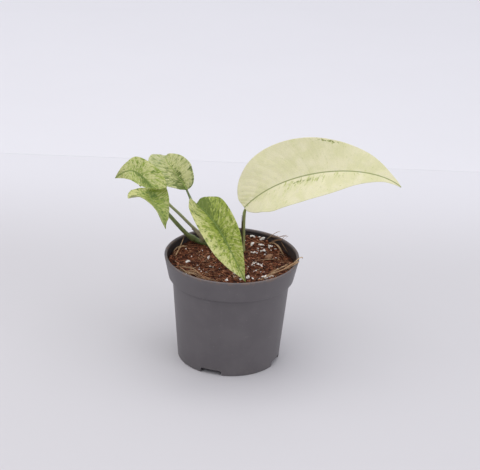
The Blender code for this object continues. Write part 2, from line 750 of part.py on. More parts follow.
def centre_on_floor(parts):
    """Hangs every piece on one empty that puts the middle of the whole box over the origin."""
    depsgraph = bpy.context.evaluated_depsgraph_get()
    places = []
    for obj in parts.objects:
        shown = obj.evaluated_get(depsgraph)
        places += [obj.matrix_world @ vertex.co for vertex in shown.to_mesh().vertices]
        shown.to_mesh_clear()
    middle_x = (min(place.x for place in places) + max(place.x for place in places)) / 2
    middle_y = (min(place.y for place in places) + max(place.y for place in places)) / 2
    root = bpy.data.objects.new("pot_axis", None)
    bpy.context.scene.collection.objects.link(root)
    root.location = (-middle_x, -middle_y, 0.0)
    return root


def build():
    clear_scene()
    parts = add_collection("potted_swiss_cheese_vine")
    cutters = add_collection("cutters", hidden=True)
    buried = [("stem", stem_points(), stem_radii())]
    tube("main_stem", stem_points(), stem_radii(), parts, "green_stem")
    for index in range(len(ROOTS)):
        name = f"root_{index + 1}"
        line = root_line(index)
        shown = outside_stem(line)
        tube(name, shown, [ROOT_RADIUS] * len(shown), parts, "root")
        buried.append((name, line, [ROOT_RADIUS] * len(line)))
    nursery_pot(parts, cutters)
    potting_soil(parts, cutters, buried)
    for key in LEAVES:
        leaf_blade(key, parts)
        petiole(key, parts)
    for name in SHEATHS:
        sheath(name, parts)
    for index in range(len(PERLITE)):
        perlite_grain(index, parts)
    bark_chip(parts)
    for name in FIBRES:
        fibre(name, fibre_on_soil(name), parts)
    fibre("fibre_over_rim", fibre_over_rim(), parts)
    bpy.context.view_layer.update()
    root = centre_on_floor(parts)
    for obj in [*parts.objects, *cutters.objects]:
        obj.parent = root


build()
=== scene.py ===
"""Potted swiss cheese vine: the detailed look of the plant, its soil and its nursery pot.

Everything is laid out in metres around the pot's axis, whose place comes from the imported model.
"""

import math
import random

import bmesh
import bpy
import numpy as np
from mathutils import Matrix, Vector, noise


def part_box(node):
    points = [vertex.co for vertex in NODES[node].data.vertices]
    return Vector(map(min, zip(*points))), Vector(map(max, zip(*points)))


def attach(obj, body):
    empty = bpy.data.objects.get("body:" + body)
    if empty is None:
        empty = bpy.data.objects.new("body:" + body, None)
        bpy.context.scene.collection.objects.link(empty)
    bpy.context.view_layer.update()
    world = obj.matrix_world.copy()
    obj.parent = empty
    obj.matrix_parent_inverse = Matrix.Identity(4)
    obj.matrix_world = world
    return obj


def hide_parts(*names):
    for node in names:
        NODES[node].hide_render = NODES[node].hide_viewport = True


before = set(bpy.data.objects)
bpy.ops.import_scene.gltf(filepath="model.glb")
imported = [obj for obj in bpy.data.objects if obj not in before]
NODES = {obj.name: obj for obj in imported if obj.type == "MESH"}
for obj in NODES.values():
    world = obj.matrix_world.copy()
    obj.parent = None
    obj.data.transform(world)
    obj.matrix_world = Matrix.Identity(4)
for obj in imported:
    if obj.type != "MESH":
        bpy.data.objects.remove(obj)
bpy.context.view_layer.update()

MM = 0.001

# ---- Driving dimensions, as in the part ----

POT_LOW, POT_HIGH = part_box("nursery_pot")
AXIS = Vector(((POT_LOW.x + POT_HIGH.x) / 2, (POT_LOW.y + POT_HIGH.y) / 2, 0.0))
POT_HEIGHT = POT_HIGH.z
RIM_RADIUS = (POT_HIGH.x - POT_LOW.x) / 2
COLLAR_HEIGHT = 20.4 * MM
COLLAR_LOW_RADIUS = 55.6 * MM
WALL_TOP_RADIUS = 52.3 * MM
BASE_RADIUS = 45.5 * MM
WALL = 1.2 * MM
LIP_THICKNESS = 2.6 * MM
LIP_DEPTH = 3.2 * MM
SHOULDER_DROP = 0.8 * MM
FOOT_WIDTH = 2.2 * MM
FLOOR_UNDERSIDE = 6.5 * MM
FLOOR_THICKNESS = 1.4 * MM
FLOOR_FILLET = 2.0 * MM
NOTCH_COUNT = 4
NOTCH_WIDTH = 19.5 * MM
NOTCH_HEIGHT = 5.0 * MM
NOTCH_FIRST_ANGLE = math.radians(-109)
DRAIN_COUNT = 8
DRAIN_RADIUS = 4.0 * MM
DRAIN_RING_RADIUS = 34 * MM

SOIL_DEPTH_BELOW_RIM = 8.0 * MM
SOIL_EDGE_ROUND = 1.6 * MM
SOIL_ROUGHNESS = 1.3 * MM
SOIL_GRAIN = 9 * MM
# Sizes of the unevenness on the soil's surface
LUMP_SIZE, CRUMB_SIZE, FINE_SIZE = 4.2 * MM, 1.7 * MM, 0.8 * MM
SOIL_MOUNDS = [(18, 50, 3.6, 15), (52, 18, -3.6, 16), (-38, 22, 1.2, 18), (4, -40, 2.2, 20)]
CLEARANCE = 0.35 * MM

STEM_RADIUS = 2.4 * MM
STEM_PATH = [(-35, 37, 5), (-29.5, 35.5, 3.5), (-24, 33.5, 2.8), (-17.5, 31.5, 2.2),
             (-9, 29, 1.6), (0, 26.5, 0.8), (9, 24.5, -0.4), (15, 22.5, -4)]

# Each leaf: four control points of its midrib in mm, the way its upper side faces at base, middle
# and tip, the widths in mm of its left and right half, the angles in degrees by which each half
# folds up and curls on, its outline as shares of the length and half width, where along the stem
# its petiole starts, and the petiole's radius and route in mm.
LEAVES = {
    "a": {
        "rib": [(-68.5, 18, 57.7), (-85.5, 35, 68.8), (-89.5, 17, 84.8), (-106, 24.5, 66.7)],
        "face": [(0.45, -0.15, 0.65), (-0.1, -0.2, 0.85), (0.05, -0.7, 0.1)],
        "half": (22.5, 17), "fold": (20, 17), "curl": (2, 1),
        "outline": [(-0.012, 0.03), (-0.03, 0.42), (0.02, 0.76), (0.20, 1.04), (0.54, 0.86),
                    (0.72, 0.47), (0.92, 0.15), (1.0, 0.012)],
        "stem_at": 0.17, "radius": 1.4,
        "petiole": [(-26.3, 31, 10), (-32.2, 29.5, 16.3), (-38.6, 27.5, 23.3),
                    (-47.7, 25.5, 33.5), (-56, 24, 42.1), (-63.1, 22.5, 50.1)],
    },
    "b": {
        "rib": [(-75.5, 1.5, 67.5), (-74.5, 1, 53.5), (-60.5, -23.5, 57.5), (-58.5, -22.5, 40.5)],
        "face": [(-0.35, -0.35, 0.65), (0.3, -0.3, 0.65), (0.35, -0.4, 0.35)],
        "half": (18.5, 25.5), "fold": (-18, 52), "curl": (-19, -7),
        "outline": [(-0.012, 0.03), (-0.03, 0.34), (0.05, 0.80), (0.23, 1.04), (0.48, 0.87),
                    (0.76, 0.49), (0.93, 0.15), (1.0, 0.012)],
        "stem_at": 0.0, "radius": 1.8,
        "petiole": [(-41.2, 31, 12.2), (-48.8, 25, 23), (-56.4, 19, 34.6),
                    (-64.4, 12.5, 46.7), (-71.2, 7, 57)],
    },
    "c": {
        "rib": [(-43, 42, 51.2), (-50.5, 72, 51.2), (-65.5, 87, 59.2), (-65.5, 108, 56.2)],
        "face": [(0.0, -0.75, 0.55), (0.05, -0.55, 0.9), (-0.25, 0.4, 0.85)],
        "half": (33, 18.5), "fold": (38, 45), "curl": (4, 8),
        "outline": [(-0.02, 0.03), (-0.09, 0.36), (-0.05, 0.80), (0.18, 1.0), (0.48, 0.88),
                    (0.76, 0.50), (0.93, 0.14), (1.0, 0.012)],
        "stem_at": 0.36, "radius": 1.3,
        "petiole": [(-25.3, 34.5, 11.5), (-28, 36, 17), (-33.8, 38.5, 30.4),
                    (-39.5, 42.5, 42.5)],
    },
    "d": {
        "rib": [(-32.5, 12.5, 50), (-12.5, -6, 42), (-0.5, -40, 28.5), (13, -48.5, 5)],
        "face": [(0.15, -0.1, 0.05), (0.25, -0.6, 0.55), (-0.05, -0.9, 0.25)],
        "half": (19, 23.5), "fold": (36, 28), "curl": (4, 0),
        "outline": [(-0.012, 0.035), (-0.03, 0.43), (0.04, 0.78), (0.18, 1.0), (0.56, 0.86),
                    (0.77, 0.51), (0.93, 0.14), (1.0, 0.012)],
        "stem_at": 0.48, "radius": 1.3,
        "petiole": [(-19.4, 28.5, 11), (-25.1, 23.5, 25.4), (-30, 18.5, 39),
                    (-32.6, 16, 44.8)],
    },
    "e": {
        "rib": [(9.5, 20, 45), (41.5, 28, 82), (117, 12, 98.5), (145.5, 2.5, 78)],
        "face": [(-0.4, -0.4, 0.65), (0.1, -0.75, 0.75), (0.25, -0.4, 0.85)],
        "half": (34.5, 34), "fold": (17, 18), "curl": (6, 6),
        "outline": [(0.0, 0.08), (0.014, 0.35), (0.085, 0.73), (0.22, 1.0), (0.44, 0.96),
                    (0.70, 0.59), (0.88, 0.20), (1.0, 0.012)],
        "stem_at": 0.86, "radius": 1.5,
        "petiole": [(9.6, 24.5, 11.5), (9.5, 24, 21.5), (9.5, 23, 31.8), (9.7, 22, 40)],
    },
}
MIDRIB_SPACING = 1.25
MIDRIB_CHANNEL = 0.8 * MM
VEIN_SWEEP = 1.3
LEAF_THICKNESS = 0.7 * MM

# Each sheath: its leaf, where along the petiole it starts and ends, how far round it reaches and
# the way its middle faces in degrees, and how loose its foot is in mm
SHEATHS = {
    "dried_sheath": {"leaf": "e", "span": (0.08, 0.70), "arc": 150, "middle": 185, "slack": 0.5},
    "tan_sheath": {"leaf": "a", "span": (0.15, 0.38), "arc": 220, "middle": 250, "slack": 2.0},
}
# The bark chip's place and size in mm, and its turn in degrees
BARK = {"at": (33, 12.5), "size": (9.5, 5, 2.4), "turn": 65}
# Coir fibres on the soil, as x, y and height above it in mm
FIBRES = {
    "fibre_front": [(-46, -22, 1), (-40, -28, 2.2), (-33, -33, 2.6), (-26, -38, 1.2)],
    "fibre_right": [(33, -25, 1.5), (41, -18, 2.5), (48, -10, 3.2), (52, -2, 3.5)],
    "fibre_back": [(33, 40, 1.2), (38, 37, 3.5), (43, 30, 3), (46, 22, 1.2)],
    "fibre_left": [(-50, 6, 1), (-48, 13, 3), (-45, 20, 3.5), (-41, 26, 1.5)],
}
# The fibre over the rim, as mm out from it, degrees round it and mm above it
RIM_FIBRE = [(-8.08, -15.64, -4.5), (-3.61, -10.21, -0.5), (-0.2, -5.76, 1.6), (2.21, -0.92, 0.6),
             (2.67, 2.74, -2.4)]

# ---- Looks of the leaves ----
# Every patch is (share of the length, place across from -1 to 1, reach along, reach across,
# how much it adds). "patches" add green to the cream ground, and "deeps" add deep green.
LEAF_LOOKS = {
    "a": {"cream": (0.61, 0.60, 0.30), "light": (0.26, 0.335, 0.055), "deep": (0.10, 0.17, 0.02),
          "green": 0.44, "dark": 0.34, "streaks": (62, 4), "veins": 13, "wave": 0.7,
          "patches": [(0.3, -0.5, 0.3, 0.4, 0.22), (0.9, 0.0, 0.12, 1.0, -0.3),
                      (0.5, 0.6, 0.4, 0.35, -0.06), (0.0, 0.0, 0.2, 1.0, 0.25)],
          "deeps": [(0.2, -0.3, 0.3, 0.3, 0.3), (0.0, 0.0, 0.15, 0.8, 0.2),
                    (0.4, -0.08, 0.5, 0.08, 0.25)]},
    "b": {"cream": (0.58, 0.57, 0.25), "light": (0.25, 0.325, 0.055), "deep": (0.09, 0.155, 0.022),
          "green": 0.56, "dark": 0.33, "streaks": (54, 3), "veins": 12, "wave": 0.5,
          "patches": [(0.4, 0.8, 0.5, 0.3, -0.3), (0.9, 0.0, 0.2, 1.0, 0.3),
                      (0.3, -0.3, 0.3, 0.5, 0.1)],
          "deeps": [(0.25, -0.1, 0.25, 0.5, 0.2), (0.8, -0.3, 0.2, 0.4, 0.12)]},
    "c": {"cream": (0.63, 0.62, 0.34), "light": (0.27, 0.34, 0.075), "deep": (0.09, 0.135, 0.024),
          "green": 0.34, "dark": 0.33, "streaks": (64, 3), "veins": 13, "wave": 0.6,
          "patches": [(0.35, 0.6, 0.3, 0.4, -0.22), (0.0, -0.2, 0.14, 0.8, 0.4),
                      (0.4, -0.7, 0.3, 0.3, 0.14)],
          "deeps": [(0.02, -0.5, 0.16, 0.5, 0.5), (0.35, 0.1, 0.2, 0.2, 0.25),
                    (0.3, -0.4, 0.3, 0.4, 0.12), (0.1, 0.95, 0.3, 0.15, 0.3)]},
    "d": {"cream": (0.60, 0.59, 0.27), "light": (0.26, 0.325, 0.045), "deep": (0.10, 0.15, 0.014),
          "green": 0.54, "dark": 0.37, "streaks": (66, 4), "veins": 14, "wave": 0.6,
          "patches": [(0.4, 0.9, 0.6, 0.3, -0.30), (0.15, -0.4, 0.3, 0.6, 0.35),
                      (0.5, -0.1, 0.3, 0.3, 0.14), (0.95, 0.0, 0.1, 1.0, -0.15)],
          "deeps": [(0.03, -0.5, 0.18, 0.7, 0.65), (0.3, -0.3, 0.25, 0.4, 0.12),
                    (0.5, 0.0, 0.5, 0.12, 0.28)]},
    "e": {"cream": (0.74, 0.70, 0.48), "light": (0.46, 0.49, 0.19), "deep": (0.20, 0.235, 0.06),
          "green": 0.0, "dark": -0.05, "streaks": (80, 3), "veins": 22, "wave": 0.9,
          "patches": [(0.55, 0.16, 0.36, 0.16, 0.30), (0.03, 0.0, 0.10, 0.5, 0.3),
                      (0.62, -0.93, 0.05, 0.06, 0.3), (0.3, 0.4, 0.3, 0.3, 0.10)],
          "deeps": [(0.62, -0.94, 0.05, 0.06, 0.62), (0.45, 0.16, 0.12, 0.08, 0.42),
                    (0.62, 0.25, 0.15, 0.16, 0.32), (0.3, 0.5, 0.2, 0.3, 0.20),
                    (0.62, -0.3, 0.2, 0.3, 0.14)]},
}
RIB_GREEN = {"a": (0.17, 0.235, 0.055), "b": (0.22, 0.28, 0.08), "c": (0.27, 0.36, 0.09),
             "d": (0.14, 0.215, 0.045), "e": (0.20, 0.245, 0.075)}
# How deep the side veins lie in mm, and how much paler they are
VEIN_DEPTH = {"a": 0.12, "b": 0.14, "c": 0.12, "d": 0.10, "e": 0.10}
VEIN_PALE = {"a": 0.30, "b": 0.35, "c": 0.35, "d": 0.25, "e": 0.05}
# Rows and columns of points on each blade
LEAF_GRID = {"e": (190, 113)}
LEAF_GRID_SMALL = (130, 81)
# The waves of the margin: how many along the blade, and how strong
MARGIN_WAVES = ((2.3, 1.0), (4.1, 0.6), (7.3, 0.25))

# ---- Looks of the stalks and sheaths: foot, top and stain, then dark, middle and pale ----
PETIOLE_TONES = {
    "a": ((0.31, 0.31, 0.17), (0.32, 0.37, 0.17), (0.36, 0.29, 0.18)),
    "b": ((0.17, 0.21, 0.075), (0.27, 0.33, 0.12), (0.20, 0.17, 0.085)),
    "c": ((0.21, 0.25, 0.11), (0.20, 0.26, 0.11), (0.22, 0.18, 0.09)),
    "d": ((0.14, 0.19, 0.05), (0.17, 0.24, 0.06), (0.16, 0.13, 0.055)),
    "e": ((0.29, 0.31, 0.12), (0.31, 0.37, 0.14), (0.25, 0.19, 0.095)),
}
STEM_TONES = ((0.115, 0.15, 0.045), (0.12, 0.17, 0.045), (0.19, 0.13, 0.06))
SHEATH_TONES = {
    "dried_sheath": ((0.050, 0.042, 0.022), (0.11, 0.085, 0.045), (0.20, 0.14, 0.08)),
    "tan_sheath": ((0.24, 0.20, 0.12), (0.40, 0.36, 0.24), (0.52, 0.48, 0.35)),
}
# A petiole's radius at its foot and what it loses on the way up, as shares of its own; its
# swollen foot and the joint below the blade, as how much and how far; and its least radius
PETIOLE_FOOT_SHARE = 1.16
PETIOLE_TAPER = 0.32
PETIOLE_STEPS = 70
FOOT_SWELL, FOOT_REACH = 0.45, 0.06
JOINT_SWELL, JOINT_REACH, JOINT_PLACE = 0.16, 0.05, 0.94
LEAST_RADIUS = 0.12 * MM
# Where each petiole fades out under the midrib: share along it, and radii below the blade
PETIOLE_TAIL = [(0.015, 0.75), (0.05, 0.55), (0.10, 0.30), (0.16, 0.05)]
# How much of the stem's radius each petiole's foot lies from the stem's axis
FOOT_IN_STEM = 0.6
STEM_STEPS = 120
STEM_TAPER = 0.25
# The ring where a leaf leaves the stem: how far on it lies, how far it reaches, how much it swells
RING_OFFSET, RING_REACH, RING_SWELL = 0.03, 0.018, 0.12
SHEATH_FIT = 1.12
SHEATH_TAPER = 0.75
SHEATH_RAGGED = 0.06
SHEATH_FLARE = 0.25 * MM
SHEATH_GAP = 0.2 * MM
SHEATH_WRINKLE = 0.2 * MM
SHEATH_LEAST_GAP = 0.05 * MM
SHEATH_GRID = (64, 44)
SHEATH_HALF_THICKNESS = 0.14 * MM

# ---- Looks of the soil and what lies on it: tones from dark to pale ----
CRUMB_TONES = [(0.012, 0.004, 0.003), (0.085, 0.024, 0.010), (0.25, 0.075, 0.033),
               (0.60, 0.27, 0.15)]
HAIR_TONES = [(0.09, 0.026, 0.012), (0.27, 0.088, 0.040), (0.50, 0.24, 0.12), (0.70, 0.47, 0.29)]
COIR_TONES = [(0.16, 0.075, 0.04), (0.36, 0.20, 0.105), (0.56, 0.38, 0.22), (0.70, 0.55, 0.36)]
BARK_TONES = [(0.10, 0.045, 0.025), (0.30, 0.155, 0.085), (0.52, 0.33, 0.20)]
CRUMB_COUNT = 2100
HAIR_COUNT = 760
HAIR_STEPS = 7
STRAND_STEPS = 26
STRAND_RADIUS = 0.42 * MM
GRAIN_KNOBS = 7
# Where loose perlite crumbs gather: x, y and spread in mm, how many there are and their size
PERLITE_DRIFTS = [(24, 34, 9, 24, 1.4), (28, 8, 13, 26, 1.25), (16, -32, 11, 26, 1.4),
                  (-22, -16, 17, 16, 1.1), (32, -28, 7, 16, 1.5), (-32, 8, 12, 9, 1.1),
                  (2, 8, 20, 12, 1.0)]

# ---- Fineness of the turned shapes ----
POT_SEGMENTS = 224
POT_CORNER = 1.1 * MM
POT_CORNER_STEPS = 5
POT_SHARP_ANGLE = math.radians(32)
DRAIN_SEGMENTS = 40
SOIL_SEGMENTS = 300
SOIL_RINGS = 84
STALK_SIDES = 28
STEM_SIDES = 32
TUBE_LUMP = 2.2 * MM
ON_AXIS = 1e-9
# Where noise has its middle values, between which most of the looks vary
MIDDLING = (0.3, 0.7)

# ---- Making meshes ----


def new_mesh(name, points, faces, smooth=True):
    mesh = bpy.data.meshes.new(name)
    mesh.from_pydata([tuple(point) for point in points], [], [tuple(face) for face in faces])
    mesh.validate()
    mesh.polygons.foreach_set("use_smooth", [smooth] * len(mesh.polygons))
    return mesh


def mesh_from(name, shape):
    """A mesh of the shape under construction, which is freed."""
    mesh = bpy.data.meshes.new(name)
    shape.to_mesh(mesh)
    shape.free()
    return mesh


def linked(name, data):
    """A new object in the scene."""
    made = bpy.data.objects.new(name, data)
    bpy.context.scene.collection.objects.link(made)
    return made


def at_angle(radius, turn):
    return radius * math.cos(turn), radius * math.sin(turn)


def place(name, mesh, finish, replaced=()):
    """Puts a finished mesh, laid out around the pot's axis, on the root body."""
    piece = linked(name, mesh)
    piece.location = AXIS
    mesh.materials.clear()
    mesh.materials.append(finish)
    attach(piece, "root")
    if replaced:
        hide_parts(*replaced)
    return piece


def note(mesh, name, values):
    """Keeps three numbers for each vertex, which a material reads by this name."""
    layer = mesh.attributes.new(name, "FLOAT_VECTOR", "POINT")
    layer.data.foreach_set("vector", np.asarray(values, np.float32).ravel())


class Heap:
    """Many small shapes gathered in one mesh, each with its own shade."""

    def __init__(self):
        self.points, self.faces, self.shades = [], [], []

    def add(self, points, faces, shade):
        first = len(self.points)
        self.points += [tuple(point) for point in points]
        self.faces += [tuple(first + index for index in face) for face in faces]
        self.shades += [shade] * len(points)

    def mesh(self, name, smooth=True):
        made = new_mesh(name, self.points, self.faces, smooth)
        rows = np.zeros((len(self.points), 3))
        rows[:, 0] = self.shades
        note(made, "shade", rows)
        return made


def planted(points):
    """Places in metres of the plant's points, which are given in mm above the soil's level."""
    return np.asarray(points, float) * MM + (0.0, 0.0, soil_level())


def unit(rows):
    return rows / np.maximum(np.linalg.norm(rows, axis=-1, keepdims=True), 1e-12)


def bezier(points, share):
    rows = np.asarray(points, float)
    share = np.asarray(share, float)
    last = len(rows) - 1
    total = 0.0
    for index, row in enumerate(rows):
        weight = math.comb(last, index) * (1 - share) ** (last - index) * share ** index
        total = total + weight[..., None] * row
    return total


def smooth_through(points, share):
    """The points at shares, 0 to 1, of a smooth curve through the points."""
    rows = np.asarray(points, float)
    spans = len(rows) - 1
    rows = np.vstack([2 * rows[0] - rows[1], rows, 2 * rows[-1] - rows[-2]])
    place_along = np.clip(np.asarray(share, float), 0, 1) * spans
    first = np.minimum(place_along.astype(int), spans - 1)
    step = (place_along - first)[..., None]
    before, start, end, after = (rows[first + offset] for offset in range(4))
    return 0.5 * (2 * start + (end - before) * step
                  + (2 * before - 5 * start + 4 * end - after) * step ** 2
                  + (3 * start - before - 3 * end + after) * step ** 3)


def smoothstep(low, high, value):
    share = np.clip((value - low) / (high - low), 0, 1)
    return share * share * (3 - 2 * share)


def tube(points, radii, sides=16, seed=None, lumps=0.0):
    """Vertices and faces of a closed round tube along points, and each vertex's share along it."""
    points = np.asarray(points, float)
    along = unit(np.gradient(points, axis=0))
    across = np.cross(along[0], (0.31, 0.83, 0.47))
    rings = []
    for point, heading, radius in zip(points, along, radii):
        across = across - heading * across.dot(heading)
        across = across / np.linalg.norm(across)
        other = np.cross(heading, across)
        for index in range(sides):
            turn = index * math.tau / sides
            outward = across * math.cos(turn) + other * math.sin(turn)
            reach = radius
            if lumps:
                here = Vector(point + outward * radius) / TUBE_LUMP + Vector((seed, 0, 0))
                reach = radius * (1 + lumps * noise.noise(here))
            rings.append(point + outward * reach)
    count = len(points)
    faces = []
    for ring in range(count - 1):
        for index in range(sides):
            after = (index + 1) % sides
            low, high = ring * sides, (ring + 1) * sides
            faces.append((low + index, low + after, high + after, high + index))
    # The ends bulge a little
    verts = rings + [points[0] - along[0] * radii[0] * 0.5,
                     points[-1] + along[-1] * radii[-1] * 0.6]
    start, end = count * sides, count * sides + 1
    top = (count - 1) * sides
    for index in range(sides):
        after = (index + 1) % sides
        faces.append((start, after, index))
        faces.append((end, top + index, top + after))
    shares = [ring / (count - 1) for ring in range(count) for _ in range(sides)] + [0.0, 1.0]
    return np.array(verts), faces, np.array(shares)


def revolved(profile, segments):
    """A closed solid turned around Z from (radius, height) points; radius 0 makes a pole."""
    verts, faces, rows = [], [], []
    for radius, height in profile:
        if radius < ON_AXIS:
            rows.append([len(verts)] * segments)
            verts.append((0.0, 0.0, height))
            continue
        rows.append([len(verts) + index for index in range(segments)])
        for index in range(segments):
            verts.append((*at_angle(radius, index * math.tau / segments), height))
    for low, high in zip(rows, rows[1:]):
        for index in range(segments):
            after = (index + 1) % segments
            # A pole's corners are one and the same, and count once.
            face = list(dict.fromkeys((low[index], low[after], high[after], high[index])))
            if len(face) > 2:
                faces.append(face)
    return verts, faces


def facing_out(mesh):
    shape = bmesh.new()
    shape.from_mesh(mesh)
    bmesh.ops.recalc_face_normals(shape, faces=shape.faces)
    shape.to_mesh(mesh)
    shape.free()
    return mesh


def rounded(profile, radius, steps=4):
    """The profile with every inner corner rounded by up to the radius."""
    rows = [Vector(point) for point in profile]
    made = [rows[0]]
    for before, corner, after in zip(rows, rows[1:], rows[2:]):
        back, ahead = before - corner, after - corner
        reach = min(radius, back.length * 0.45, ahead.length * 0.45)
        start, end = corner + back.normalized() * reach, corner + ahead.normalized() * reach
        for index in range(steps + 1):
            share = index / steps
            made.append(start.lerp(corner, share).lerp(corner.lerp(end, share), share))
    made.append(rows[-1])
    return [tuple(point) for point in made]


# ---- Materials ----


class Finish:
    """A Principled material and short ways to wire its nodes."""

    def __init__(self, name, **settings):
        self.material = bpy.data.materials.new(name)
        self.material.use_nodes = True
        self.tree = self.material.node_tree
        self.shader = self.tree.nodes["Principled BSDF"]
        for socket, value in settings.items():
            self.shader.inputs[socket.replace("_", " ")].default_value = value

    def node(self, kind, **settings):
        made = self.tree.nodes.new(kind)
        for name, value in settings.items():
            setattr(made, name, value)
        return made

    def join(self, source, target):
        if isinstance(source, bpy.types.NodeSocket):
            self.tree.links.new(source, target)
        else:
            target.default_value = source

    def math(self, operation, *values, clamp=False):
        made = self.node("ShaderNodeMath", operation=operation, use_clamp=clamp)
        for socket, value in zip(made.inputs, values):
            self.join(value, socket)
        return made.outputs[0]

    def step(self, value, low, high, to_low=0.0, to_high=1.0):
        """Smooth rise from to_low to to_high while the value goes from low to high."""
        made = self.node("ShaderNodeMapRange", interpolation_type="SMOOTHSTEP")
        for socket, given in zip(made.inputs, (value, low, high, to_low, to_high)):
            self.join(given, socket)
        return made.outputs[0]

    def mix(self, share, first, second, blend="MIX"):
        made = self.node("ShaderNodeMix", data_type="RGBA", blend_type=blend)
        self.join(share, made.inputs["Factor"])
        for name, value in (("A", first), ("B", second)):
            socket = next(entry for entry in made.inputs
                          if entry.name == name and entry.type == "RGBA")
            self.join(value if isinstance(value, bpy.types.NodeSocket) else (*value, 1.0), socket)
        return next(entry for entry in made.outputs if entry.type == "RGBA")

    def times(self, first, second):
        return self.math("MULTIPLY", first, second)

    def plus(self, first, second, clamp=False):
        return self.math("ADD", first, second, clamp=clamp)

    def coated(self, colour, tone, share, amount):
        """The colour with the tone over it, by the share times the amount."""
        return self.mix(self.times(share, amount), colour, tone)

    def flecked(self, colour, tone, value, *rise):
        """The colour with the tone over it where the value rises, as step has it."""
        return self.mix(self.step(value, *rise), colour, tone)

    def place(self):
        return self.node("ShaderNodeTexCoord").outputs["Object"]

    def stretched(self, vector, scale, shift=(0, 0, 0)):
        made = self.node("ShaderNodeMapping")
        self.join(vector, made.inputs["Vector"])
        made.inputs["Scale"].default_value = scale
        made.inputs["Location"].default_value = shift
        return made.outputs[0]

    def split(self, vector):
        made = self.node("ShaderNodeSeparateXYZ")
        self.join(vector, made.inputs[0])
        return made.outputs

    def noise(self, vector, scale, detail=3.0, roughness=0.5, warp=0.0):
        made = self.node("ShaderNodeTexNoise")
        self.join(vector, made.inputs["Vector"])
        settings = {"Scale": scale, "Detail": detail, "Roughness": roughness, "Distortion": warp}
        for socket, value in settings.items():
            made.inputs[socket].default_value = value
        return made.outputs[0]

    def kept(self, name):
        """The three numbers noted on the mesh under this name."""
        return self.split(self.node("ShaderNodeAttribute", attribute_name=name).outputs["Vector"])

    def joined(self, x, y, z):
        made = self.node("ShaderNodeCombineXYZ")
        for socket, value in zip(made.inputs, (x, y, z)):
            self.join(value, socket)
        return made.outputs[0]

    def bump(self, height, distance, strength=1.0, below=None):
        made = self.node("ShaderNodeBump")
        made.inputs["Distance"].default_value = distance
        made.inputs["Strength"].default_value = strength
        self.join(height, made.inputs["Height"])
        if below is not None:
            self.join(below, made.inputs["Normal"])
        return made.outputs[0]

    def done(self, colour=None, roughness=None, normal=None):
        sockets = {"Base Color": colour, "Roughness": roughness, "Normal": normal}
        for name, value in sockets.items():
            if value is not None:
                self.join(value, self.shader.inputs[name])
        return self.material

    def matt(self, colour, grain, rough, relief, depth):
        """Finished with its roughness following the grain, and a relief of this depth."""
        return self.done(colour, self.step(grain, *MIDDLING, *rough), self.bump(relief, depth))


def blend(first, second, share=0.5):
    return tuple((1 - share) * low + share * high for low, high in zip(first, second))


def leaf_finish(key):
    look = LEAF_LOOKS[key]
    cream, light = look["cream"], look["light"]
    made = Finish("leaf_" + key + "_finish", Subsurface_Weight=0.12, Subsurface_Scale=0.0012,
                  Specular_IOR_Level=0.27)
    made.shader.inputs["Subsurface Radius"].default_value = (0.9, 1.0, 0.35)
    spot = made.place()
    share, across, from_rib = made.kept("blade")
    green_share, deep_share, under = made.kept("marks")
    width = made.math("ABSOLUTE", across)
    fine, long = look["streaks"]
    side = made.math("GREATER_THAN", across, 0.0)
    lane = made.joined(made.times(share, fine), made.times(width, long), made.times(side, 17.3))
    # Streaks, blotches and flecks make the marbling, which turns green where it is strong.
    streaks = made.step(made.noise(lane, 1.0, 4.0, 0.65, 0.3), 0.28, 0.72)
    blotches = made.noise(spot, 230, 5.0, 0.65, 0.4)
    flecks = made.noise(spot, 520, 4.0, 0.65, 0.3)
    marbling = made.plus(made.times(streaks, 0.46),
                         made.plus(made.times(blotches, 0.22), made.times(flecks, 0.32)))
    greens = made.step(made.plus(marbling, made.times(green_share, 0.5)), 0.66, 0.83)
    other = made.noise(made.stretched(lane, (0.8, 0.9, 1.0), (31, 7, 3)), 1.0, 4.0, 0.65, 0.3)
    specks = made.noise(spot, 430, 4.0, 0.65, 0.2)
    darker = made.plus(made.plus(made.times(other, 0.6), made.times(specks, 0.4)),
                       made.times(deep_share, 0.5))
    deeps = made.step(darker, 0.69, 0.80)
    ground = made.mix(made.step(green_share, 0.15, 1.0, 0.0, 0.5), cream, light)
    # The cream is clouded with a duller yellow.
    yellow = tuple(value * shade for value, shade in zip(cream, (0.72, 0.78, 0.50)))
    clouds = made.noise(spot, 70, 3.0, 0.6, 0.5)
    ground = made.flecked(ground, yellow, clouds, 0.38, 0.64, 0.0, 0.34)
    colour = made.mix(deeps, made.mix(greens, ground, light), look["deep"])
    # Side veins run from the midrib to the margin along lines of equal share.
    beat = made.math("PINGPONG", made.times(share, float(look["veins"])), 0.5)
    vein = made.times(made.step(beat, 0.10, 0.0), made.step(width, 0.98, 0.6, 0.0, 1.0))
    pale = blend(light, cream, 0.45)
    colour = made.coated(colour, pale, vein, VEIN_PALE[key])
    fine_beat = made.math("PINGPONG", made.times(share, look["veins"] * 4.0), 0.5)
    hair = made.step(fine_beat, 0.16, 0.0)
    colour = made.coated(colour, pale, hair, 0.10)
    colour = made.coated(colour, RIB_GREEN[key], made.step(from_rib, 0.95, 0.35), 0.85)
    grain = made.noise(spot, 1500, 2.0, 0.5)
    colour = made.flecked(colour, tuple(value * 0.72 for value in light), grain,
                          0.35, 0.7, 0.0, 0.16)
    # The underside is duller and more even.
    colour = made.coated(colour, blend(light, cream), under, 0.45)
    gloss = made.step(made.noise(spot, 240, 3.0, 0.6), *MIDDLING, 0.36, 0.50)
    cells = made.noise(spot, 1800, 2.0, 0.6)
    height = made.plus(made.times(cells, 0.6), made.times(hair, -0.5))
    return made.done(colour, gloss, made.bump(height, 0.00012, 0.5))


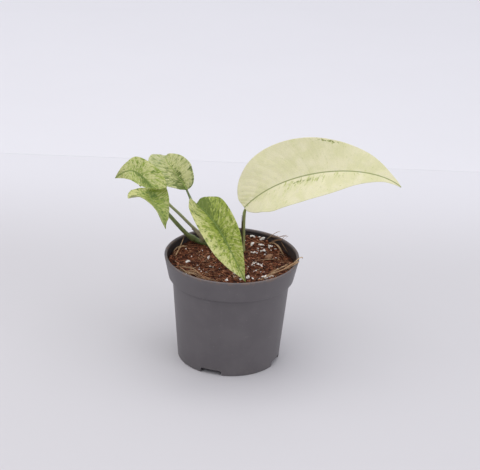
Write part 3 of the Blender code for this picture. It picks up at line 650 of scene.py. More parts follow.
def pot_finish():
    made = Finish("pot_finish", Specular_IOR_Level=0.42)
    spot = made.place()
    height = made.split(spot)[2]
    cloud = made.noise(spot, 38, 4.0, 0.6)
    colour = made.flecked((0.108, 0.098, 0.104), (0.125, 0.114, 0.120), cloud, 0.35, 0.7)
    # The inner side is darkened as painted shade, with soil on it towards the bed.
    flat = made.node("ShaderNodeVectorMath", operation="MULTIPLY")
    made.join(spot, flat.inputs[0])
    flat.inputs[1].default_value = (1.0, 1.0, 0.0)
    measure = made.node("ShaderNodeVectorMath", operation="LENGTH")
    made.join(flat.outputs[0], measure.inputs[0])
    lean = (RIM_RADIUS - COLLAR_LOW_RADIUS) / COLLAR_HEIGHT
    skin = made.math("SUBTRACT", measure.outputs["Value"], made.times(height, lean))
    collar_foot = COLLAR_LOW_RADIUS - shoulder_height() * lean
    behind_wall = made.step(skin, collar_foot - WALL * 0.4, collar_foot - WALL * 0.8)
    above_bed = made.step(height, shoulder_height(), soil_level() - 4 * MM)
    below_lip = made.step(height, POT_HEIGHT - 0.9 * MM, POT_HEIGHT - 2.6 * MM)
    inside = made.times(behind_wall, made.times(above_bed, below_lip))
    colour = made.coated(colour, (0.030, 0.025, 0.026), inside, 0.85)
    near_bed = made.step(height, soil_level() + 5 * MM, soil_level())
    soiled = made.step(made.noise(spot, 300, 4.0, 0.65), 0.45, 0.6)
    crust = made.times(inside, made.times(near_bed, soiled))
    colour = made.coated(colour, (0.05, 0.022, 0.014), crust, 0.8)
    # Upright flow marks of the moulding
    flow = made.noise(made.stretched(spot, (170, 170, 9)), 1.0, 3.0, 0.6)
    colour = made.flecked(colour, (0.155, 0.142, 0.148), flow, 0.52, 0.75, 0.0, 0.10)
    # Scuffs: thin slanting scratches that break up
    scratch = made.noise(made.stretched(spot, (60, 60, 900), (0.2, 0.4, 0.1)), 1.0, 2.0, 0.5)
    patches = made.noise(spot, 55, 2.0, 0.5)
    scuff = made.times(made.step(scratch, 0.66, 0.72), made.step(patches, 0.56, 0.68))
    colour = made.coated(colour, (0.26, 0.24, 0.245), scuff, 0.35)
    # Pale specks of dust, soil dust along the lip and a smear around the foot
    dots = made.noise(spot, 900, 1.0, 0.5)
    colour = made.flecked(colour, (0.42, 0.40, 0.40), dots, 0.76, 0.80, 0.0, 0.35)
    dusty = made.times(made.step(height, POT_HEIGHT - 3.4 * MM, POT_HEIGHT - 0.6 * MM),
                       made.step(made.noise(spot, 260, 4.0, 0.65), 0.42, 0.62))
    colour = made.coated(colour, (0.26, 0.165, 0.115), dusty, 0.42)
    smear = made.times(made.step(height, 12 * MM, 2 * MM),
                       made.step(made.noise(spot, 130, 4.0, 0.6), 0.45, 0.7))
    colour = made.coated(colour, (0.22, 0.19, 0.175), smear, 0.18)
    gloss = made.plus(made.step(cloud, *MIDDLING, 0.40, 0.50), made.times(dusty, 0.25))
    grain = made.noise(spot, 2300, 2.0, 0.5)
    relief = made.plus(grain, made.times(flow, 0.8))
    return made.done(colour, gloss, made.bump(relief, 0.00006, 0.5))


def soil_finish():
    made = Finish("soil_finish", Specular_IOR_Level=0.25, Roughness=0.95)
    spot = made.place()
    lumps = made.noise(spot, 210, 6.0, 0.65)
    fine = made.noise(spot, 900, 4.0, 0.65)
    colour = made.flecked((0.016, 0.005, 0.003), (0.115, 0.034, 0.014), lumps, 0.35, 0.65)
    colour = made.flecked(colour, (0.24, 0.080, 0.036), fine, 0.52, 0.72, 0.0, 0.65)
    relief = made.plus(lumps, made.times(fine, 0.5))
    return made.matt(colour, fine, (0.75, 1.0), relief, 0.0009)


def shaded_finish(name, tones, scale, depth):
    """For heaps: each shape's shade picks its tone, and noise varies it within the shape."""
    made = Finish(name, Specular_IOR_Level=0.3)
    spot = made.stretched(made.place(), (1, 1, 1))
    shade = made.kept("shade")[0]
    grain = made.noise(spot, scale, 4.0, 0.65)
    value = made.plus(shade, made.times(made.math("SUBTRACT", grain, 0.5), 0.9), clamp=True)
    ramp = made.node("ShaderNodeValToRGB")
    made.join(value, ramp.inputs[0])
    rows = ramp.color_ramp.elements
    rows[0].color = (*tones[0], 1.0)
    rows[1].color = (*tones[-1], 1.0)
    for index, tone in enumerate(tones[1:-1], 1):
        rows.new(index / (len(tones) - 1)).color = (*tone, 1.0)
    fine = made.noise(spot, scale * 4, 3.0, 0.6)
    relief = made.plus(grain, made.times(fine, 0.4))
    return made.matt(ramp.outputs[0], fine, (0.7, 0.95), relief, depth)


def stalk_finish(name, low_tone, high_tone, stain):
    """For stems: the tone goes from foot to top, with lengthwise streaks and brown marks."""
    made = Finish(name, Subsurface_Weight=0.08, Subsurface_Scale=0.001, Specular_IOR_Level=0.4)
    spot = made.place()
    share = made.kept("stalk")[0]
    turn = made.kept("stalk")[1]
    streak = made.noise(made.joined(made.times(share, 5.0), made.times(turn, 3.2), 1.0),
                        2.0, 4.0, 0.6)
    colour = made.flecked(low_tone, high_tone, share, 0.1, 0.75)
    colour = made.flecked(colour, tuple(value * 1.45 for value in high_tone), streak,
                          0.45, 0.72, 0.0, 0.4)
    marks = made.noise(spot, 420, 4.0, 0.7)
    colour = made.flecked(colour, stain, marks, 0.58, 0.70, 0.0, 0.55)
    relief = made.plus(made.noise(spot, 1300, 3.0, 0.6), made.times(streak, 0.8))
    return made.matt(colour, marks, (0.36, 0.58), relief, 0.00015)


# ---- Pot ----


def shoulder_height():
    return POT_HEIGHT - COLLAR_HEIGHT


def wall_radius(height):
    return BASE_RADIUS + (WALL_TOP_RADIUS - BASE_RADIUS) * height / shoulder_height()


def collar_radius(height):
    share = (height - shoulder_height()) / COLLAR_HEIGHT
    return COLLAR_LOW_RADIUS + (RIM_RADIUS - COLLAR_LOW_RADIUS) * share


def floor_top():
    return FLOOR_UNDERSIDE + FLOOR_THICKNESS


def pot_profile():
    lip_low = POT_HEIGHT - LIP_DEPTH
    step = shoulder_height() + WALL
    inside = [
        (0.0, floor_top()),
        (wall_radius(floor_top()) - WALL, floor_top()),
        (wall_radius(step) - WALL, step),
        (collar_radius(step) - WALL, step),
        (collar_radius(lip_low) - WALL, lip_low),
        (RIM_RADIUS - LIP_THICKNESS, lip_low + SHOULDER_DROP),
        (RIM_RADIUS - LIP_THICKNESS, POT_HEIGHT),
        (RIM_RADIUS, POT_HEIGHT),
    ]
    outside = [
        (collar_radius(lip_low), lip_low),
        (COLLAR_LOW_RADIUS, shoulder_height()),
        (WALL_TOP_RADIUS, shoulder_height()),
        (BASE_RADIUS, 0.0),
        (BASE_RADIUS - FOOT_WIDTH, 0.0),
        (BASE_RADIUS - FOOT_WIDTH, FLOOR_UNDERSIDE),
        (0.0, FLOOR_UNDERSIDE),
    ]
    return rounded(inside + outside, POT_CORNER, POT_CORNER_STEPS)


def cutter(name, mesh, location, turn):
    tool = linked(name, mesh)
    tool.location = location
    tool.rotation_euler = (0.0, 0.0, turn)
    return tool


def nursery_pot():
    pot = linked("pot_blank", facing_out(new_mesh("pot", *revolved(pot_profile(), POT_SEGMENTS))))
    tools = []
    for index in range(NOTCH_COUNT):
        shape = bmesh.new()
        bmesh.ops.create_cube(shape, size=1.0)
        for corner in shape.verts:
            corner.co = (corner.co.x * FOOT_WIDTH * 4, corner.co.y * NOTCH_WIDTH,
                         corner.co.z * 2 * NOTCH_HEIGHT)
        upper = [edge for edge in shape.edges
                 if all(end.co.z > 0 for end in edge.verts)
                 and abs(edge.verts[0].co.y - edge.verts[1].co.y) < NOTCH_WIDTH / 2]
        bmesh.ops.bevel(shape, geom=upper, offset=NOTCH_HEIGHT * 0.4, segments=6, profile=0.5,
                        affect="EDGES")
        turn = NOTCH_FIRST_ANGLE + index * math.tau / NOTCH_COUNT
        where = (*at_angle(BASE_RADIUS - FOOT_WIDTH / 2, turn), 0.0)
        tools.append(cutter(f"notch_{index}", mesh_from("notch", shape), where, turn))
    for index in range(DRAIN_COUNT):
        shape = bmesh.new()
        bmesh.ops.create_cone(shape, cap_ends=True, segments=DRAIN_SEGMENTS, radius1=DRAIN_RADIUS,
                              radius2=DRAIN_RADIUS, depth=4 * FLOOR_THICKNESS)
        turn = (index + 0.5) * math.tau / DRAIN_COUNT
        where = (*at_angle(DRAIN_RING_RADIUS, turn), FLOOR_UNDERSIDE + FLOOR_THICKNESS / 2)
        tools.append(cutter(f"drain_{index}", mesh_from("drain", shape), where, turn))
    for tool in tools:
        step = pot.modifiers.new(tool.name, "BOOLEAN")
        step.operation = "DIFFERENCE"
        step.solver = "EXACT"
        step.object = tool
    depsgraph = bpy.context.evaluated_depsgraph_get()
    made = bpy.data.meshes.new_from_object(pot.evaluated_get(depsgraph))
    made.name = "pot_mesh"
    for tool in [pot, *tools]:
        bpy.data.objects.remove(tool, do_unlink=True)
    made.polygons.foreach_set("use_smooth", [True] * len(made.polygons))
    made.set_sharp_from_angle(angle=POT_SHARP_ANGLE)
    place("moulded_pot", made, pot_finish(), ["nursery_pot"])


# ---- Soil and what lies on it ----


def soil_level():
    return POT_HEIGHT - SOIL_DEPTH_BELOW_RIM


def soil_rim_radius():
    return collar_radius(soil_level()) - WALL - CLEARANCE


def soil_height(x, y):
    height = soil_level()
    for mound_x, mound_y, rise, spread in SOIL_MOUNDS:
        away = math.hypot(x - mound_x * MM, y - mound_y * MM) / (spread * MM)
        height += rise * MM * math.exp(-away ** 2)
    return height + SOIL_ROUGHNESS * noise.noise(Vector((x, y, 0.0)) / SOIL_GRAIN)


def crumbled(x, y):
    """The soil's surface with its lumps and crumbs."""
    spot = Vector((x, y, 0.0))
    lumps = abs(noise.noise(spot / LUMP_SIZE + Vector((3, 5, 1))))
    crumbs = noise.noise(spot / CRUMB_SIZE)
    fine = noise.noise(spot / FINE_SIZE)
    return soil_height(x, y) + (1.5 * lumps - 0.45 + 0.45 * crumbs + 0.2 * fine) * MM


def soil_bed():
    rim = soil_rim_radius()
    level = soil_level()
    step = shoulder_height() + WALL + CLEARANCE
    low = floor_top() + CLEARANCE
    top = [((rim - SOIL_EDGE_ROUND * 0.4) * ring / SOIL_RINGS, level)
           for ring in range(SOIL_RINGS + 1)]
    side = [
        (rim - SOIL_EDGE_ROUND * 0.2, level - SOIL_EDGE_ROUND),
        (collar_radius(step) - WALL - CLEARANCE - SHOULDER_DROP, step + SHOULDER_DROP),
        (collar_radius(step) - WALL - CLEARANCE - 2 * SHOULDER_DROP, step),
        (wall_radius(step) - WALL - CLEARANCE, step),
        (wall_radius(low + FLOOR_FILLET) - WALL - CLEARANCE, low + 1.5 * FLOOR_FILLET),
        (wall_radius(low) - WALL - CLEARANCE - 1.5 * FLOOR_FILLET, low),
        (0.0, low),
    ]
    verts, faces = revolved(top + side, SOIL_SEGMENTS)
    shaped = [(x, y, crumbled(x, y)) if z == level else (x, y, z) for x, y, z in verts]
    mesh = facing_out(new_mesh("soil_mesh", shaped, faces))
    place("soil_bed", mesh, soil_finish(), ["potting_soil"])


def pebble(subdivisions):
    shape = bmesh.new()
    bmesh.ops.create_icosphere(shape, subdivisions=subdivisions, radius=0.5)
    points = [vertex.co.copy() for vertex in shape.verts]
    faces = [[vertex.index for vertex in face.verts] for face in shape.faces]
    shape.free()
    return points, faces


def on_soil(draw, reach):
    """An even random place on the soil, in metres from the pot's axis."""
    radius = reach * math.sqrt(draw.random())
    return at_angle(radius, draw.uniform(0, math.tau))


def turned(draw, tilt=1.0):
    spin = Matrix.Rotation(draw.uniform(0, math.tau), 3, "Z")
    lean = Matrix.Rotation(draw.gauss(0, 0.45) * tilt, 3, "X")
    return spin @ lean


def shade_near(draw, middle, spread, most=1.0):
    """A random shade around the middle, from 0 to most."""
    return min(max(draw.gauss(middle, spread), 0.0), most)


def soil_crumbs():
    """Coir chips and peat crumbs that lie loose on the bed."""
    draw = random.Random(41)
    heap = Heap()
    points, faces = pebble(1)
    reach = soil_rim_radius() - 1.6 * MM
    for _ in range(CRUMB_COUNT):
        x, y = on_soil(draw, reach)
        length = draw.uniform(1.0, 3.4) * MM
        size = (length, length * draw.uniform(0.35, 0.8), length * draw.uniform(0.25, 0.6))
        spin = turned(draw)
        centre = Vector((x, y, crumbled(x, y) + size[2] * draw.uniform(-0.1, 0.45)))
        shift = draw.uniform(0, 90)
        shape = []
        for point in points:
            rough = 1 + 0.55 * noise.noise(point * 2.6 + Vector((shift, 0, 0)))
            bent = Vector([value * rough * span for value, span in zip(point, size)])
            shape.append(centre + spin @ bent)
        heap.add(shape, faces, shade_near(draw, 0.45, 0.27, 0.97))
    finish = shaded_finish("crumb_finish", CRUMB_TONES, 700, 0.0004)
    place("soil_crumbs", heap.mesh("crumb_mesh", smooth=False), finish)


def soil_hairs():
    """Short coir hairs tangled over the bed."""
    draw = random.Random(77)
    heap = Heap()
    reach = soil_rim_radius() - 3.0 * MM
    for _ in range(HAIR_COUNT):
        x, y = on_soil(draw, reach)
        length = draw.uniform(3.5, 12) * MM
        turn = draw.uniform(0, math.tau)
        bend = draw.uniform(-0.9, 0.9)
        lift = draw.uniform(0.1, 1.3) * MM
        line = []
        for index in range(HAIR_STEPS):
            share = index / (HAIR_STEPS - 1)
            heading = turn + bend * share
            px = x + math.cos(heading) * length * (share - 0.5)
            py = y + math.sin(heading) * length * (share - 0.5)
            span = math.hypot(px, py)
            if span > reach:
                px, py = px * reach / span, py * reach / span
            line.append((px, py, crumbled(px, py) + lift * math.sin(math.pi * share) + 0.15 * MM))
        thick = draw.uniform(0.10, 0.24) * MM
        radii = [thick * (0.4 + 0.6 * math.sin(math.pi * (0.1 + 0.8 * index / (HAIR_STEPS - 1))))
                 for index in range(HAIR_STEPS)]
        verts, faces, _ = tube(line, radii, 4)
        heap.add(verts, faces, shade_near(draw, 0.45, 0.25))
    finish = shaded_finish("hair_finish", HAIR_TONES, 500, 0.0001)
    place("soil_hairs", heap.mesh("hair_mesh"), finish)


def perlite_finish():
    made = Finish("perlite_finish", Specular_IOR_Level=0.3)
    spot = made.place()
    pores = made.noise(spot, 1500, 4.0, 0.7)
    stains = made.noise(spot, 420, 3.0, 0.6)
    colour = made.flecked((0.62, 0.54, 0.46), (0.95, 0.92, 0.88), pores, 0.28, 0.46)
    colour = made.flecked(colour, (0.52, 0.36, 0.26), stains, 0.56, 0.72, 0.0, 0.5)
    return made.matt(colour, pores, (0.8, 0.95), pores, 0.0005)


def grain_shape(points, size, seed):
    shape = []
    for point in points:
        knobs = noise.noise(point * 3.1 + Vector((seed * 7.3, 1.7, 4.1)))
        pits = noise.noise(point * 8.0 + Vector((seed * 3.9, 0.6, 2.2)))
        bumps = noise.noise(point * 17.0 + Vector((seed * 2.3, 5.1, 0.4)))
        rough = 0.92 + 0.62 * knobs + 0.24 * pits + 0.08 * bumps
        shape.append(Vector([value * rough * span for value, span in zip(point, size)]))
    return shape


def perlite():
    finish = perlite_finish()
    draw = random.Random(23)
    grains = Heap()
    points, faces = pebble(3)
    names = sorted(name for name in NODES if name.startswith("perlite_"))
    for index, name in enumerate(names):
        low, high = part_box(name)
        centre = (low + high) / 2 - AXIS
        half = (high - low) / 2
        heading = draw.uniform(0, math.tau)
        lengthwise = Vector((*at_angle(1.0, heading), 0.0))
        sideways = Vector((-lengthwise.y, lengthwise.x, 0.0))
        span = (half.x + half.y) / 2
        for knob in range(GRAIN_KNOBS):
            out = 0.66 * draw.uniform(-1, 1) * span
            aside = 0.26 * draw.uniform(-1, 1) * span
            rise = half.z * draw.uniform(-0.35, 0.35)
            size = span * draw.uniform(0.30, 0.56)
            spin = turned(draw, 2.0)
            shape = grain_shape(points, (size * 1.5, size, size * 0.85), index * 9 + knob)
            middle = centre + lengthwise * out + sideways * aside + Vector((0.0, 0.0, rise))
            grains.add([middle + spin @ point for point in shape], faces, 0.5)
    place("perlite_grains", grains.mesh("grain_mesh"), finish, names)
    crumbs = Heap()
    points, faces = pebble(2)
    reach = soil_rim_radius() - 2.5 * MM
    for drift_x, drift_y, spread, count, scale in PERLITE_DRIFTS:
        for _ in range(count):
            x = (drift_x + draw.gauss(0, spread)) * MM
            y = (drift_y + draw.gauss(0, spread)) * MM
            size = scale * draw.uniform(0.5, 1.35) ** 1.6 * MM
            seed = draw.uniform(0, 50)
            slim = draw.uniform(0.45, 0.95)
            spin = turned(draw, 2.0)
            if math.hypot(x, y) > reach:
                continue
            shape = grain_shape(points, (size * 1.75, size * slim, size * 0.7), seed)
            centre = Vector((x, y, crumbled(x, y) + size * 0.3))
            crumbs.add([centre + spin @ point for point in shape], faces, 0.5)
    place("perlite_crumbs", crumbs.mesh("perlite_crumb_mesh"), finish)


def bark_chip():
    points, faces = pebble(4)
    length, width, height = [size * MM for size in BARK["size"]]
    x, y = [value * MM for value in BARK["at"]]
    low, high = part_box("bark_chip")
    spin = Matrix.Rotation(math.radians(BARK["turn"]), 3, "Z")
    shape = []
    for point in points:
        # Squarer than an egg, with layers that break off along its length.
        square = Vector([math.copysign(abs(2 * value) ** 0.6, value) / 2 for value in point])
        layers = noise.noise(Vector((point.x * 1.5, point.y * 7, point.z * 9)))
        rough = 1 + 0.22 * layers + 0.08 * noise.noise(point * 9)
        flat = Vector((square.x * length, square.y * width, square.z * height)) * rough
        shape.append(spin @ flat + Vector((x, y, (low.z + high.z) / 2)))
    heap = Heap()
    heap.add(shape, faces, 0.5)
    finish = shaded_finish("bark_finish", BARK_TONES, 420, 0.0005)
    place("bark_flake", heap.mesh("bark_mesh"), finish, ["bark_chip"])


def add_strands(heap, route, count, spread, thick, seed):
    """A loose wisp of coir: strands that follow the route, part from it and curl."""
    draw = random.Random(seed)
    for index in range(count):
        start = draw.uniform(0.0, 0.25) if index else 0.0
        end = draw.uniform(0.75, 1.0) if index else 1.0
        shares = np.linspace(start, end, STRAND_STEPS)
        line = smooth_through(route, shares)
        side = np.array([draw.gauss(0, 1), draw.gauss(0, 1), abs(draw.gauss(0, 0.4))])
        sway = np.sin(np.linspace(0, draw.uniform(2, 5), STRAND_STEPS) + draw.uniform(0, 3))
        part = np.linspace(-0.4, 1, STRAND_STEPS) * draw.uniform(0.4, 1.0)
        if index:
            swing = 0.35 * sway[:, None] * side[::-1]
            line = line + (side[None, :] * part[:, None] + swing) * spread
        radius = thick * (draw.uniform(0.35, 0.8) if index else 1.0)
        radii = radius * (0.35 + 0.65 * np.sin(np.pi * np.linspace(0.12, 0.95, STRAND_STEPS)))
        verts, faces, _ = tube(line, radii, 7, seed + index, 0.35)
        heap.add(verts, faces, shade_near(draw, 0.5, 0.2))


def strands(name, route, count, spread, thick, seed, finish):
    heap = Heap()
    add_strands(heap, route, count, spread, thick, seed)
    place(name.replace("fibre", "coir"), heap.mesh(name + "_mesh"), finish, [name])


# More loose coir, as the routes of wisps: x, y and height above the soil's level in mm
WISPS = [
    [(31, 47, 3), (34, 45, 7), (38, 43, 11), (43, 42, 14)],
    [(35, 42, 8), (41, 41, 8.5), (47, 40, 10), (50, 38, 10.5)],
    [(40, 44, 9), (44, 38, 5), (47, 33, 2), (50, 27, 0)],
    [(32, 38, 1.5), (38, 37, 6), (44, 37, 8), (48, 39, 12)],
    [(-50, 20, 0), (-47, 24, 3), (-45, 28, 7), (-44, 31, 9)],
    [(-52, 10, 1), (-51, 17, 3), (-47, 22, 3.5), (-42, 26, 2)],
    [(-45, -16, 2.5), (-41, -21, 4), (-33, -27, 5.5), (-27, -34, 3.5)],
    [(-43, -24, 1.5), (-37, -27, 3.5), (-30, -32, 4.5), (-22, -40, 2)],
    [(-48, -14, 2), (-44, -22, 3), (-39, -31, 3.5), (-33, -38, 2.5)],
    [(20, 5, 1), (26, 2, 3), (33, 4, 3), (38, 9, 1)],
    [(-10, -45, 2), (-18, -42, 3.5), (-24, -40, 3), (-30, -36, 2)],
    [(24, -40, 3), (30, -37, 4.5), (36, -33, 4.5), (42, -27, 3)],
]
# The thick tan bundle that lies from the bed to the rim, as x, y and height above the soil
BUNDLE = [(29, -33, 3.2), (38, -28, 4.8), (47, -22, 6.6), (54, -16.5, 8.3), (59.5, -11, 8.9)]


def coir():
    finish = shaded_finish("coir_finish", COIR_TONES, 600, 0.00012)
    for seed, (name, points) in enumerate(FIBRES.items()):
        route = [(x * MM, y * MM, soil_height(x * MM, y * MM) + lift * MM + 0.7 * MM)
                 for x, y, lift in points]
        strands(name, route, 6, 1.5 * MM, STRAND_RADIUS, 5 + seed, finish)
    route = []
    for out, degrees, lift in RIM_FIBRE:
        spot = at_angle(RIM_RADIUS + out * MM, math.radians(degrees))
        route.append((*spot, POT_HEIGHT + lift * MM))
    strands("fibre_over_rim", route, 4, 0.9 * MM, STRAND_RADIUS, 31, finish)
    wisps = Heap()
    for seed, points in enumerate(WISPS):
        add_strands(wisps, planted(points), 3, 1.6 * MM, 0.22 * MM, 60 + seed)
    place("coir_wisps", wisps.mesh("wisp_mesh"), finish)
    bundle = Heap()
    add_strands(bundle, planted(BUNDLE), 17, 0.75 * MM, 0.5 * MM, 90)
    place("coir_bundle", bundle.mesh("bundle_mesh"), finish)


# ---- Stem, petioles and sheaths ----


def leaf_frames(leaf, share):
    """Points on the midrib, its direction and the way the upper side faces."""
    step = 0.001
    ahead = bezier(leaf["rib"], np.clip(share + step, 0, 1))
    behind = bezier(leaf["rib"], np.clip(share - step, 0, 1))
    along = unit(ahead - behind)
    facing = bezier(leaf["face"], share)
    facing = unit(facing - along * (facing * along).sum(-1, keepdims=True))
    return planted(bezier(leaf["rib"], share)), along, facing


def stalk(name, points, radii, finish, replaced, seed, sides=STALK_SIDES, lumps=0.05):
    verts, faces, shares = tube(points, radii, sides, seed, lumps)
    mesh = new_mesh(name + "_mesh", verts, faces)
    turns = np.tile(np.arange(sides) * math.tau / sides, len(points))
    rows = np.zeros((len(verts), 3))
    rows[:, 0] = shares
    rows[:len(turns), 1] = np.cos(turns)
    note(mesh, "stalk", rows)
    place(name, mesh, finish, [replaced])


def petiole_route(key):
    """The petiole's points, from beside the stem to the underside of the blade."""
    leaf = LEAVES[key]
    radius = leaf["radius"] * MM
    base, _, facing = leaf_frames(leaf, np.array(0.0))
    top = base - facing * (LEAF_THICKNESS / 2 + 2 * CLEARANCE + radius)
    centre = planted(smooth_through(STEM_PATH, leaf["stem_at"]))
    first = planted(leaf["petiole"][0])
    foot = centre + unit(first - centre) * STEM_RADIUS * FOOT_IN_STEM
    route = [planted(point) for point in leaf["petiole"]]
    return [foot, *route, top]


def petiole_points(key):
    """The route, carried on under the midrib until it has tapered away."""
    leaf = LEAVES[key]
    radius = leaf["radius"] * MM
    route = petiole_route(key)[:-1]
    tail_shares, sunk = np.array(PETIOLE_TAIL).T
    base, _, facing = leaf_frames(leaf, tail_shares)
    tail = base - facing * (sunk[:, None] * radius + LEAF_THICKNESS * 0.4)
    shares = np.linspace(0, 1, PETIOLE_STEPS)
    return smooth_through([*route, *tail], shares), len(route), len(tail)


def petioles():
    for seed, key in enumerate(LEAVES):
        radius = LEAVES[key]["radius"] * MM
        points, before, after = petiole_points(key)
        share = np.linspace(0, 1, len(points))
        bend = (before - 1) / (before + after - 1)
        radii = radius * (PETIOLE_FOOT_SHARE - PETIOLE_TAPER * share / bend)
        radii = radii * (1 + FOOT_SWELL * np.exp(-(share / FOOT_REACH) ** 2)
                         + JOINT_SWELL * np.exp(-((share - bend * JOINT_PLACE) / JOINT_REACH) ** 2))
        fade = 1 - smoothstep(bend, 1.0, share)
        radii = np.maximum(radii * fade, LEAST_RADIUS)
        finish = stalk_finish(f"petiole_{key}_finish", *PETIOLE_TONES[key])
        stalk("stalk_" + key, points, radii, finish, "petiole_" + key, seed + 2)


def main_stem():
    shares = np.linspace(0, 1, STEM_STEPS)
    points = planted(smooth_through(STEM_PATH, shares))
    radii = STEM_RADIUS * (1 - STEM_TAPER * shares ** 3)
    for leaf in LEAVES.values():
        away = (shares - leaf["stem_at"] - RING_OFFSET) / RING_REACH
        radii = radii * (1 + RING_SWELL * np.exp(-away ** 2))
    finish = stalk_finish("stem_finish", *STEM_TONES)
    stalk("vine_stem", points, radii, finish, "main_stem", 9, STEM_SIDES, 0.09)


def sheath_finish(name, dark, mid, pale):
    made = Finish(name, Specular_IOR_Level=0.2)
    spot = made.place()
    share, around, _ = made.kept("stalk")
    lane = made.joined(made.times(share, 3.0), made.times(around, 26.0), 0.0)
    fibre = made.noise(lane, 1.0, 4.0, 0.65)
    colour = made.flecked(dark, mid, fibre, 0.35, 0.68)
    marks = made.noise(spot, 360, 4.0, 0.65)
    colour = made.flecked(colour, pale, marks, 0.52, 0.72, 0.0, 0.7)
    relief = made.plus(fibre, made.times(marks, 0.5))
    return made.matt(colour, marks, (0.7, 0.92), relief, 0.0004)


def sheaths():
    rows, columns = SHEATH_GRID
    for name, spec in SHEATHS.items():
        route = petiole_route(spec["leaf"])
        start, end = spec["span"]
        widest = LEAVES[spec["leaf"]]["radius"] * MM * SHEATH_FIT
        outer, inner, noted = [], [], []
        for row in range(rows):
            share = row / (rows - 1)
            place_along = start + (end - start) * share
            centre = smooth_through(route, place_along)
            heading = unit(smooth_through(route, place_along + 0.01)
                           - smooth_through(route, place_along - 0.01))
            east = unit(np.cross((0.0, 1.0, 0.0), heading))
            north = np.cross(heading, east)
            taper = 1.0 - SHEATH_TAPER * share ** 2
            ragged = SHEATH_RAGGED * noise.noise(Vector((share * 22, 0.3, spec["middle"])))
            for column in range(columns):
                around = column / (columns - 1) - 0.5
                turn = math.radians(spec["middle"] + spec["arc"] * around * (taper + ragged))
                wrinkle = noise.noise(Vector((share * 4, around * 11, spec["middle"])))
                flare = SHEATH_FLARE * smoothstep(0.35, 0.5, abs(around))
                flare = float(flare * smoothstep(0.2, 1, share))
                slack = spec["slack"] * MM * (1 - share) ** 2
                gap = SHEATH_GAP + slack + SHEATH_WRINKLE * wrinkle
                outward = east * math.cos(turn) + north * math.sin(turn)
                away = widest + max(gap, SHEATH_LEAST_GAP) + flare * 0.5
                middle = centre + outward * away
                outer.append(middle + outward * SHEATH_HALF_THICKNESS)
                inner.append(middle - outward * SHEATH_HALF_THICKNESS)
                noted.append((share, around, 0.0))
        mesh = facing_out(new_mesh(name + "_mesh", outer + inner, closed_sheet(rows, columns)))
        note(mesh, "stalk", noted + noted)
        finish = sheath_finish(name + "_finish", *SHEATH_TONES[name])
        place(name.replace("sheath", "scale"), mesh, finish, [name])


def closed_sheet(rows, columns):
    """Faces of a thin closed sheet whose upper side comes first, row by row, then its lower."""
    under = rows * columns
    faces = []
    for row in range(rows - 1):
        for column in range(columns - 1):
            corner = row * columns + column
            quad = (corner, corner + 1, corner + columns + 1, corner + columns)
            faces.append(quad)
            faces.append(tuple(under + index for index in reversed(quad)))
    edge = list(range(columns))
    edge += [row * columns + columns - 1 for row in range(1, rows)]
    edge += [(rows - 1) * columns + column for column in range(columns - 2, -1, -1)]
    edge += [row * columns for row in range(rows - 2, 0, -1)]
    for here, after in zip(edge, edge[1:] + edge[:1]):
        faces.append((after, here, under + here, under + after))
    return faces


# ---- Leaves ----


def leaf_surface(leaf, share, across):
    """Points of the blade's middle surface, and how far in metres each lies from the midrib."""
    margin = smooth_through(leaf["outline"], share)
    out = np.abs(across)
    middle = share ** MIDRIB_SPACING
    place_along = middle + (margin[..., 0] - middle) * out ** VEIN_SWEEP
    point, along, facing = leaf_frames(leaf, np.clip(place_along, 0, 1))
    rib = bezier(leaf["rib"], np.linspace(0, 1, 41))
    length = np.linalg.norm(np.diff(rib, axis=0), axis=1).sum() * MM
    point = point + along * (np.minimum(place_along, 0) * length)[..., None]
    right = across > 0
    half = np.where(right, leaf["half"][1], leaf["half"][0]) * MM
    fold = np.where(right, leaf["fold"][1], leaf["fold"][0])
    curl = np.where(right, leaf["curl"][1], leaf["curl"][0])
    turn = np.radians(fold + curl * out / 2)
    reach = half * margin[..., 1] * out
    # The two halves meet at the midrib in a small round channel, not in a crease.
    soft = np.sqrt(reach ** 2 + MIDRIB_CHANNEL ** 2) - MIDRIB_CHANNEL
    sideways = np.cross(along, facing) * np.where(right, 1.0, -1.0)[..., None]
    point = point + sideways * (reach * np.cos(turn))[..., None]
    point = point + facing * (soft * np.sin(turn))[..., None]
    return point, reach


def patched(level, patches, share, across):
    total = np.full(share.shape, float(level))
    for at_share, at_across, reach_along, reach_across, amount in patches:
        away = ((share - at_share) / reach_along) ** 2 + ((across - at_across) / reach_across) ** 2
        total = total + amount * np.exp(-away)
    return total


